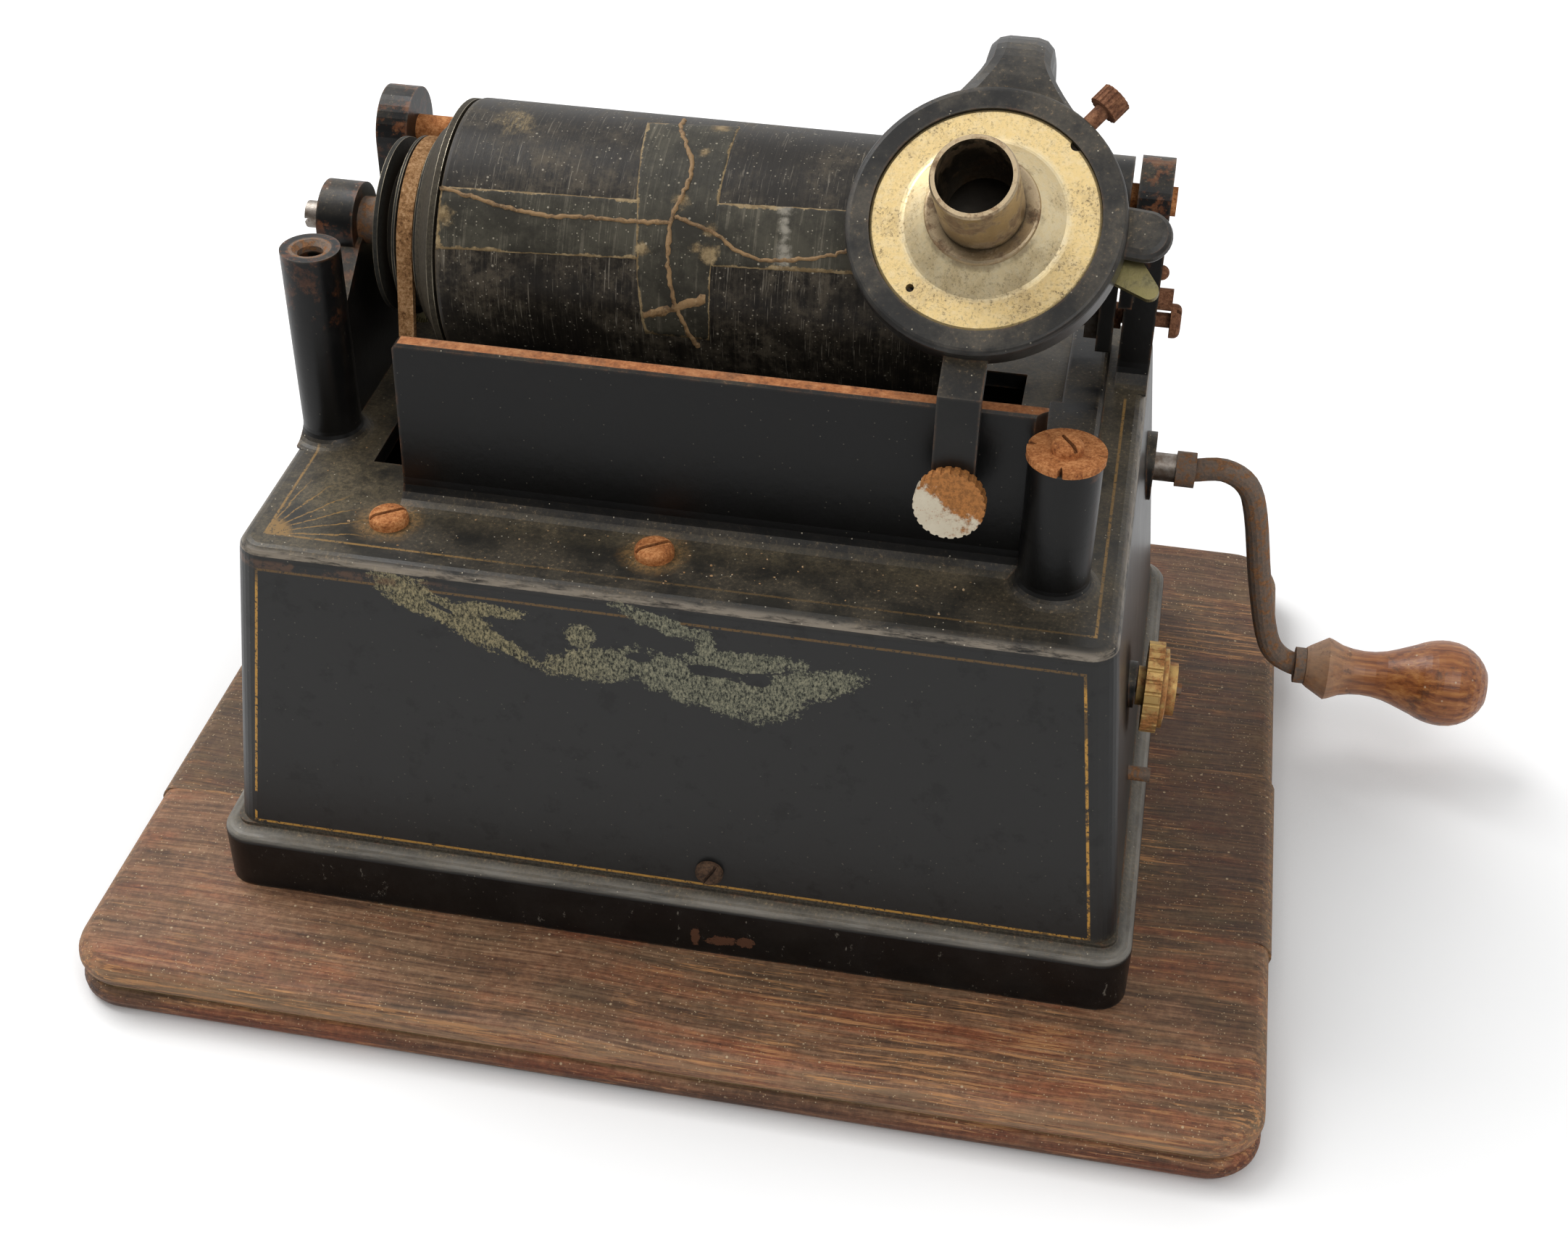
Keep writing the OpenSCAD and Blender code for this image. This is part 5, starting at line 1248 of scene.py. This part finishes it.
class Geometry(Graph):
    """A geometry tree with named inputs."""

    def __init__(self, name: str, sizes: Dict[str, float]) -> None:
        """Starts a tree.

        Args:
            name: The tree's name.
            sizes: Its number inputs and their values.
        """
        super().__init__(bpy.data.node_groups.new(name, "GeometryNodeTree"))
        sockets = self.tree.interface
        sockets.new_socket("Geometry", in_out="INPUT", socket_type="NodeSocketGeometry")
        for size, value in sizes.items():
            item = sockets.new_socket(size, in_out="INPUT", socket_type="NodeSocketFloat")
            item.default_value = value
        sockets.new_socket("Finish", in_out="INPUT", socket_type="NodeSocketMaterial")
        sockets.new_socket("Geometry", in_out="OUTPUT", socket_type="NodeSocketGeometry")
        self.given = self.add("NodeGroupInput").outputs

    def close(self, shape: Socket) -> bpy.types.NodeTree:
        """Ends the tree in Realize Instances and Set Material.

        Args:
            shape: The geometry so far.

        Returns:
            The whole tree.
        """
        real = self.add("GeometryNodeRealizeInstances", {0: shape})
        inputs = {"Geometry": real.outputs[0], "Material": self.given["Finish"]}
        self.add("NodeGroupOutput", {0: self.add("GeometryNodeSetMaterial", inputs).outputs[0]})
        return self.tree

    def sweep(self, line: Socket, sides: int, radius: Value, size: Value = 1.0) -> bpy.types.NodeTree:
        """Sweeps a ring along a line and ends the tree.

        Args:
            line: The line.
            sides: Sides of the ring.
            radius: Radius of the ring.
            size: What the ring grows by along the line.

        Returns:
            The whole tree.
        """
        ring = self.add("GeometryNodeCurvePrimitiveCircle", {"Resolution": sides, "Radius": radius})
        inputs = {"Curve": line, "Profile Curve": ring.outputs[0], "Fill Caps": True}
        tube = self.add("GeometryNodeCurveToMesh", inputs)
        if "Scale" in tube.inputs:
            self.plug(tube.inputs["Scale"], size)
        return self.close(tube.outputs[0])


def baked(name: str, start: bpy.types.Mesh, tree: bpy.types.NodeTree, inputs: Inputs) -> bpy.types.Mesh:
    """Runs a geometry tree on a mesh and keeps the result as a plain mesh.

    Args:
        name: Name of the result.
        start: The mesh to run it on.
        tree: The geometry tree.
        inputs: Values for its named inputs.

    Returns:
        The resulting mesh.
    """
    source = linked(start.name, start)
    change = source.modifiers.new("shape", "NODES")
    change.node_group = tree
    for item in tree.interface.items_tree:
        if item.item_type == "SOCKET" and item.in_out == "INPUT" and item.name in inputs:
            change[item.identifier] = inputs[item.name]
    source.update_tag()
    bpy.context.view_layer.update()
    ready = source.evaluated_get(bpy.context.evaluated_depsgraph_get())
    mesh = bpy.data.meshes.new_from_object(ready)
    mesh.name = name
    source.modifiers.clear()
    bpy.data.objects.remove(source)
    return mesh


def record_point(x: float, turn: float, lift: float = 0.0) -> Vector:
    """A point over the record's surface, from mm along it and degrees round it."""
    r, a = RECORD_R + lift, math.radians(turn)
    return Vector((x, MANDREL[0] + r * math.cos(a), MANDREL[1] + r * math.sin(a))) * MM


def spline(four: Sequence[float], t: float) -> float:
    """A smooth curve from the second to the third of four numbers, at a share of the way.

    Args:
        four: The numbers.
        t: The share of the way, from 0 to 1.

    Returns:
        The number there.
    """
    a, b, c, d = four
    square, cube = 2 * a - 5 * b + 4 * c - d, 3 * b - a - 3 * c + d
    return 0.5 * (2 * b + (c - a) * t + square * t * t + cube * t**3)


def wandering(points: Sequence[Point], step: float, seed: int, jitter: float) -> List[Point]:
    """A smooth line through points, with small random steps aside.

    Args:
        points: The points, as (along the record in mm, angle in degrees).
        step: Distance between the new points, in mm.
        seed: Seed of the random steps.
        jitter: Size of the random steps, in mm.

    Returns:
        The new points.
    """
    dice = random.Random(seed)
    line: List[Point] = []
    for i in range(len(points) - 1):
        a, b = points[max(i - 1, 0)], points[i]
        c, d = points[i + 1], points[min(i + 2, len(points) - 1)]
        long = math.hypot(c[0] - b[0], (c[1] - b[1]) * MM_PER_DEGREE)
        count = max(2, round(long / step))
        for k in range(count):
            x, turn = (spline(four, k / count) for four in zip(a, b, c, d))
            line.append((x + dice.uniform(-jitter, jitter), turn + dice.uniform(-jitter, jitter) * 2))
    return [*line, points[-1]]


class RecordMarks:
    """What shows on the record: tape patches and glued cracks."""

    BODY = "record"
    COLUMNS, ROWS = 40, 28
    RAG = 0.09
    UNDERSIDE = 0.25
    BORDER = 1.5
    RIDGE_TOP = 0.46
    CRACK_STEP, CRACK_JITTER = 0.8, 0.22

    # Name, corners as (mm along, degrees round), seed of the ragged edge, height over the wax in mm
    PATCHES = (
        ("tape_left", ((-58.0, 133.6), (-14.8, 130.8), (-14.1, 155.4), (-58.0, 160.0)), 3, 0.10),
        ("tape_tall", ((-20.8, 85.0), (-1.6, 78.0), (-1.4, 189.0), (-15.0, 189.0)), 5, 0.14),
        ("tape_right", ((-2.4, 129.0), (27.0, 126.1), (27.4, 152.6), (-1.9, 155.4)), 8, 0.18),
    )
    # Name, seed of the wander, radius in mm, unevenness, points as (mm along, degrees round)
    CRACKS = (
        (
            "crack_long", 21, 0.50, 0.5,
            (
                (-13.7, 78.0), (-13.2, 90.0), (-10.2, 103.6), (-8.4, 114.4), (-8.7, 124.1),
                (-10.3, 136.5), (-10.6, 150.0), (-9.6, 163.0), (-7.7, 176.5), (-4.0, 192.0),
            ),
        ),
        (
            "crack_left", 22, 0.45, 0.5,
            (
                (-58.2, 134.6), (-51.8, 136.9), (-43.4, 140.1), (-35.3, 141.6),
                (-25.7, 140.6), (-17.7, 140.3), (-10.4, 139.7),
            ),
        ),
        (
            "crack_right", 23, 0.42, 0.5,
            (
                (-10.1, 136.8), (-5.1, 139.6), (-1.0, 142.5), (3.3, 148.0), (8.9, 150.6),
                (15.8, 148.5), (21.9, 146.0), (27.1, 142.4), (40.0, 141.0),
            ),
        ),
        (
            "crack_low", 24, 1.6, 0.2,
            ((-15.0, 178.6), (-12.2, 177.0), (-8.5, 174.0), (-4.9, 171.1), (-2.3, 168.9)),
        ),
    )

    def patch(self, name: str, corners: Sequence[Point], seed: int, lift: float) -> None:
        """Lays a piece of tape on the record.

        Args:
            name: The piece's name.
            corners: Its four corners, as (mm along, degrees round), in order.
            seed: Seed of its ragged edge.
            lift: Height of its upper face over the wax, in mm.
        """
        dice = random.Random(seed)
        shape = bmesh.new()
        border = shape.verts.layers.float.new("border")
        rag = [[dice.uniform(-self.RAG, self.RAG) for _ in range(64)] for _ in range(4)]
        wide = abs(corners[1][0] - corners[0][0]) + 0.01
        tall = abs(corners[3][1] - corners[0][1]) * MM_PER_DEGREE + 0.01
        grid = []
        for j in range(self.ROWS + 1):
            v = j / self.ROWS
            row = []
            for i in range(self.COLUMNS + 1):
                u = i / self.COLUMNS
                x, turn = (
                    (a * (1 - u) + b * u) * (1 - v) + (d * (1 - u) + c * u) * v
                    for a, b, c, d in zip(*corners)
                )
                x += rag[0][j] * (1 - u) + rag[1][j] * u
                turn += 2 * (rag[2][i] * (1 - v) + rag[3][i] * v)
                rim = i in (0, self.COLUMNS) or j in (0, self.ROWS)
                vert = shape.verts.new(record_point(x, turn, -0.05 if rim else lift))
                away = min(u * wide, (1 - u) * wide, v * tall, (1 - v) * tall)
                vert[border] = max(0.0, 1.0 - away / self.BORDER)
                row.append(vert)
            grid.append(row)
        for low, high in zip(grid, grid[1:]):
            for i in range(self.COLUMNS):
                face = shape.faces.new((low[i], low[i + 1], high[i + 1], high[i]))
                face.smooth = True
        under = {}
        for vert in list(shape.verts):
            inward = Vector((vert.co.x, MANDREL[0] * MM, MANDREL[1] * MM)) - vert.co
            under[vert] = shape.verts.new(vert.co + inward.normalized() * self.UNDERSIDE * MM)
        for face in list(shape.faces):
            shape.faces.new([under[vert] for vert in reversed(face.verts)])
        for edge in [e for e in shape.edges if e.is_boundary and e.verts[0] in under and e.verts[1] in under]:
            a, b = edge.verts
            shape.faces.new((a, b, under[b], under[a]))
        bmesh.ops.recalc_face_normals(shape, faces=shape.faces)
        mesh = bpy.data.meshes.new(name)
        shape.to_mesh(mesh)
        shape.free()
        new_piece(mesh, TAPE, self.BODY)

    def ridge_tree(self) -> bpy.types.NodeTree:
        """Geometry tree that turns a line into an uneven ridge of glue.

        Returns:
            The tree.
        """
        g = Geometry("glue_ridge", {"Radius": 0.5 * MM, "Uneven": 0.5, "Grain": 900.0})
        place = g.add("GeometryNodeInputPosition").outputs[0]
        noise = g.add("ShaderNodeTexNoise", {"Vector": place, "Scale": g.given["Grain"]})
        sway = g.both(g.less(noise.outputs[0], 0.5), g.given["Uneven"])
        size = g.both(g.plus(1.0, g.both(sway, 3.0)), g.given["Radius"])
        line = g.add("GeometryNodeMeshToCurve", {0: g.given["Geometry"]})
        wide = g.add("GeometryNodeSetCurveRadius", {"Curve": line.outputs[0], "Radius": size})
        return g.sweep(wide.outputs[0], 8, 1.0, size)

    def crack(self, name: str, seed: int, size: float, uneven: float, points: Sequence[Point]) -> None:
        """Runs a glued crack along points on the record.

        Args:
            name: The piece's name.
            seed: Seed of its wander.
            size: Radius of the glue, in mm.
            uneven: How much its width varies.
            points: Its points, as (mm along, degrees round).
        """
        line = wandering(points, self.CRACK_STEP, seed, self.CRACK_JITTER)
        verts = [record_point(x, turn, self.RIDGE_TOP - size) for x, turn in line]
        mesh = bpy.data.meshes.new(name + "_line")
        mesh.from_pydata(verts, [(i, i + 1) for i in range(len(verts) - 1)], [])
        tree = bpy.data.node_groups.get("glue_ridge") or self.ridge_tree()
        inputs = {"Radius": size * MM, "Uneven": uneven, "Finish": GLUE.material()}
        result = baked(name, mesh, tree, inputs)
        result.shade_smooth()
        new_piece(result, GLUE, self.BODY)

    def build(self) -> None:
        """Makes all patches and cracks."""
        for patch in self.PATCHES:
            self.patch(*patch)
        for crack in self.CRACKS:
            self.crack(*crack)


@dataclass
class FeedThread:
    """The fine thread of the feed screw, in millimetres."""

    start: float = 20.0
    length: float = 56.0
    pitch: float = 0.7
    core: float = 2.94
    ridge: float = 0.26

    def build(self) -> None:
        """Sweeps a small ridge along a helix on the screw."""
        sizes = {
            "Turns": self.length / self.pitch,
            "Core": self.core * MM,
            "Length": self.length * MM,
            "Ridge": self.ridge * MM,
        }
        g = Geometry("screw_thread", sizes)
        inputs = {"Rotations": "Turns", "Start Radius": "Core", "End Radius": "Core", "Height": "Length"}
        inputs = {name: g.given[size] for name, size in inputs.items()}
        helix = g.add("GeometryNodeCurveSpiral", {"Resolution": 20, **inputs})
        tree = g.sweep(helix.outputs[0], 4, g.given["Ridge"])
        start = bpy.data.meshes.new("thread_source")
        mesh = baked("feed_thread", start, tree, {**sizes, "Finish": SHAFT.material()})
        mesh.transform(Matrix.Rotation(math.radians(90), 4, "Y"))
        mesh.transform(Matrix.Translation(Vector((self.start, *FEED)) * MM))
        new_piece(mesh, SHAFT, "feed")


class Crumbs:
    """Flakes of rust and grit that lie on the wood and the deck."""

    SEED = 7
    LIFT = 0.02
    # Name, crumbs a square metre, height of the ground in mm, rectangles as (x0, x1, y0, y1) in mm
    AREAS = (
        (
            "grit_on_boards", 20000.0, BASE_TOP,
            ((-122, 122, -96, -73.5), (98.5, 122, -73, 94), (-122, -103, -73, 94), (-102, 98, 74, 94)),
        ),
        ("grit_on_deck", 30000.0, DECK, ((-86, 60, -59, -42), (-86, -76, -40, 20))),
    )

    def tree(self) -> bpy.types.NodeTree:
        """Geometry tree that scatters small stones over faces.

        Returns:
            The tree.
        """
        g = Geometry("crumbs", {"Density": 9000.0, "Small": 0.10 * MM, "Large": 0.34 * MM})
        inputs = {"Mesh": g.given["Geometry"], "Density": g.given["Density"], "Seed": self.SEED}
        spread = g.add("GeometryNodeDistributePointsOnFaces", inputs)
        stone = g.add("GeometryNodeMeshIcoSphere", {"Radius": 1.0, "Subdivisions": 1})
        inputs = {2: g.given["Small"], 3: g.given["Large"], "Seed": self.SEED + 1}
        size = g.add("FunctionNodeRandomValue", inputs, data_type="FLOAT")
        inputs = {0: (0.5, 0.5, 0.25), 1: (1.3, 1.0, 0.6), "Seed": self.SEED + 2}
        shape = g.add("FunctionNodeRandomValue", inputs, data_type="FLOAT_VECTOR").outputs[0]
        inputs = {0: (-0.3, -0.3, 0.0), 1: (0.3, 0.3, 6.28), "Seed": self.SEED + 3}
        turn = g.add("FunctionNodeRandomValue", inputs, data_type="FLOAT_VECTOR").outputs[0]
        scale = g.add("ShaderNodeVectorMath", {0: shape, "Scale": size.outputs[1]}, operation="SCALE")
        inputs = {"Points": spread.outputs["Points"], "Instance": stone.outputs["Mesh"]}
        inputs = {**inputs, "Rotation": turn, "Scale": scale.outputs[0]}
        return g.close(g.add("GeometryNodeInstanceOnPoints", inputs).outputs[0])

    def scatter(self, name: str, density: float, z: float, areas: Sequence[Sequence[float]]) -> None:
        """Scatters crumbs on level rectangles.

        Args:
            name: The piece's name.
            density: Crumbs a square metre.
            z: Height of the ground, in mm.
            areas: Rectangles as (x0, x1, y0, y1) in mm.
        """
        z += self.LIFT
        corners = []
        for x0, x1, y0, y1 in areas:
            corners += [(x0, y0, z), (x1, y0, z), (x1, y1, z), (x0, y1, z)]
        mesh = bpy.data.meshes.new(name + "_area")
        faces = [range(n, n + 4) for n in range(0, len(corners), 4)]
        mesh.from_pydata([Vector(corner) * MM for corner in corners], [], faces)
        tree = bpy.data.node_groups.get("crumbs") or self.tree()
        new_piece(baked(name, mesh, tree, {"Density": density, "Finish": GRIT.material()}), GRIT, "machine")

    def build(self) -> None:
        """Scatters on the boards round the casting and along the deck."""
        for area in self.AREAS:
            self.scatter(*area)


class Studio:
    """Camera, lamps, floor and surroundings."""

    POSITION = (80.55, -390.63, 361.52)
    TURN = (2.226134362, 0.216044210, -0.086843962)
    FOCAL_PX = 3007.46
    WIDTH_PX = 2164
    SENSOR = 36.0
    AIM = (0, 0, 0.08)
    FLOOR_SIDE = 3.0

    def camera(self) -> None:
        """Places the camera at the photograph's point of view."""
        data = bpy.data.cameras.new("camera")
        data.sensor_width = self.SENSOR
        data.sensor_fit = "HORIZONTAL"
        data.lens = self.FOCAL_PX * self.SENSOR / self.WIDTH_PX
        data.clip_start = 0.02
        view = linked("camera", data)
        right, down, ahead = Matrix.Rotation(Vector(self.TURN).length, 3, Vector(self.TURN))
        turn = Matrix((right, -down, -ahead)).transposed()
        view.matrix_world = Matrix.Translation(Vector(self.POSITION) * MM) @ turn.to_4x4()
        bpy.context.scene.camera = view

    def lamp(self, name: str, place: Sequence[float], size: float, power: float) -> None:
        """Adds one soft lamp that looks at the part.

        Args:
            name: Its name.
            place: Its place, in metres.
            size: Side of its square, in metres.
            power: Its power in watts.
        """
        data = bpy.data.lights.new(name, "AREA")
        data.size = size
        data.energy = power
        lamp = linked(name, data)
        lamp.location = place
        lamp.rotation_euler = (Vector(self.AIM) - Vector(place)).to_track_quat("-Z", "Y").to_euler()

    def floor(self) -> None:
        """Lays the pale floor under the part, with a painted contact shadow where its glow fades near the
        part.
        """
        mesh = bpy.data.meshes.new("floor")
        side = self.FLOOR_SIDE
        corners = [(-side, -side, 0), (side, -side, 0), (side, side, 0), (-side, side, 0)]
        mesh.from_pydata(corners, [], [(0, 1, 2, 3)])
        floor = linked("floor", mesh)
        s = Shader("pale_floor")
        s.finish((0.90, 0.90, 0.90), 0.75, specular=0.1)
        seen = s.add("ShaderNodeLightPath").outputs["Is Camera Ray"]
        # Painted shadow: the glow seen by the camera fades by ambient occlusion near the part.
        painted_shadow_ao = s.add("ShaderNodeAmbientOcclusion", {"Distance": 0.22}, samples=6)
        strength = s.both(seen, s.step(painted_shadow_ao.outputs["AO"], 0.58, 0.95), 0.33)
        glow = s.add("ShaderNodeEmission", {"Strength": strength})
        total = s.add("ShaderNodeAddShader", {0: s.surface.outputs[0], 1: glow.outputs[0]})
        s.plug(s.tree.nodes["Material Output"].inputs["Surface"], total.outputs[0])
        mesh.materials.append(s.material)

    def surroundings(self) -> None:
        """White behind and above, darker on the side of the room in front."""
        world = bpy.data.worlds.new("studio")
        world.use_nodes = True
        bpy.context.scene.world = world
        g = Graph(world.node_tree)
        rays = g.add("ShaderNodeLightPath").outputs
        _, y, z = g.parts(g.add("ShaderNodeTexCoord").outputs["Generated"])
        room = g.step(g.plus(y, g.both(z, 0.9)), -0.55, 0.45)
        shine = g.plus(0.16, g.both(room, 0.84))
        clear = g.either(rays["Is Camera Ray"], rays["Is Transmission Ray"])
        plain = g.less(1.0, g.either(clear, rays["Is Glossy Ray"]))
        total = g.plus(clear, g.both(rays["Is Glossy Ray"], shine), g.both(plain, 0.42))
        back = world.node_tree.nodes["Background"]
        g.plug(back.inputs["Color"], (1.0, 1.0, 1.0))
        g.plug(back.inputs["Strength"], total)

    def build(self) -> None:
        """Sets up the whole studio."""
        bpy.context.scene.view_settings.view_transform = "Standard"
        self.camera()
        self.surroundings()
        self.floor()
        self.lamp("key", (-0.75, 0.25, 1.15), 0.8, 12.0)
        self.lamp("fill", (0.55, -0.9, 1.1), 0.9, 5.5)


def main() -> None:
    """Dresses the part, adds its details and sets up the studio."""
    logging.basicConfig(level=logging.INFO, format="%(name)s: %(message)s")
    dress(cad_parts)
    RecordMarks().build()
    FeedThread().build()
    Crumbs().build()
    Studio().build()


if __name__ == "__main__":
    main()
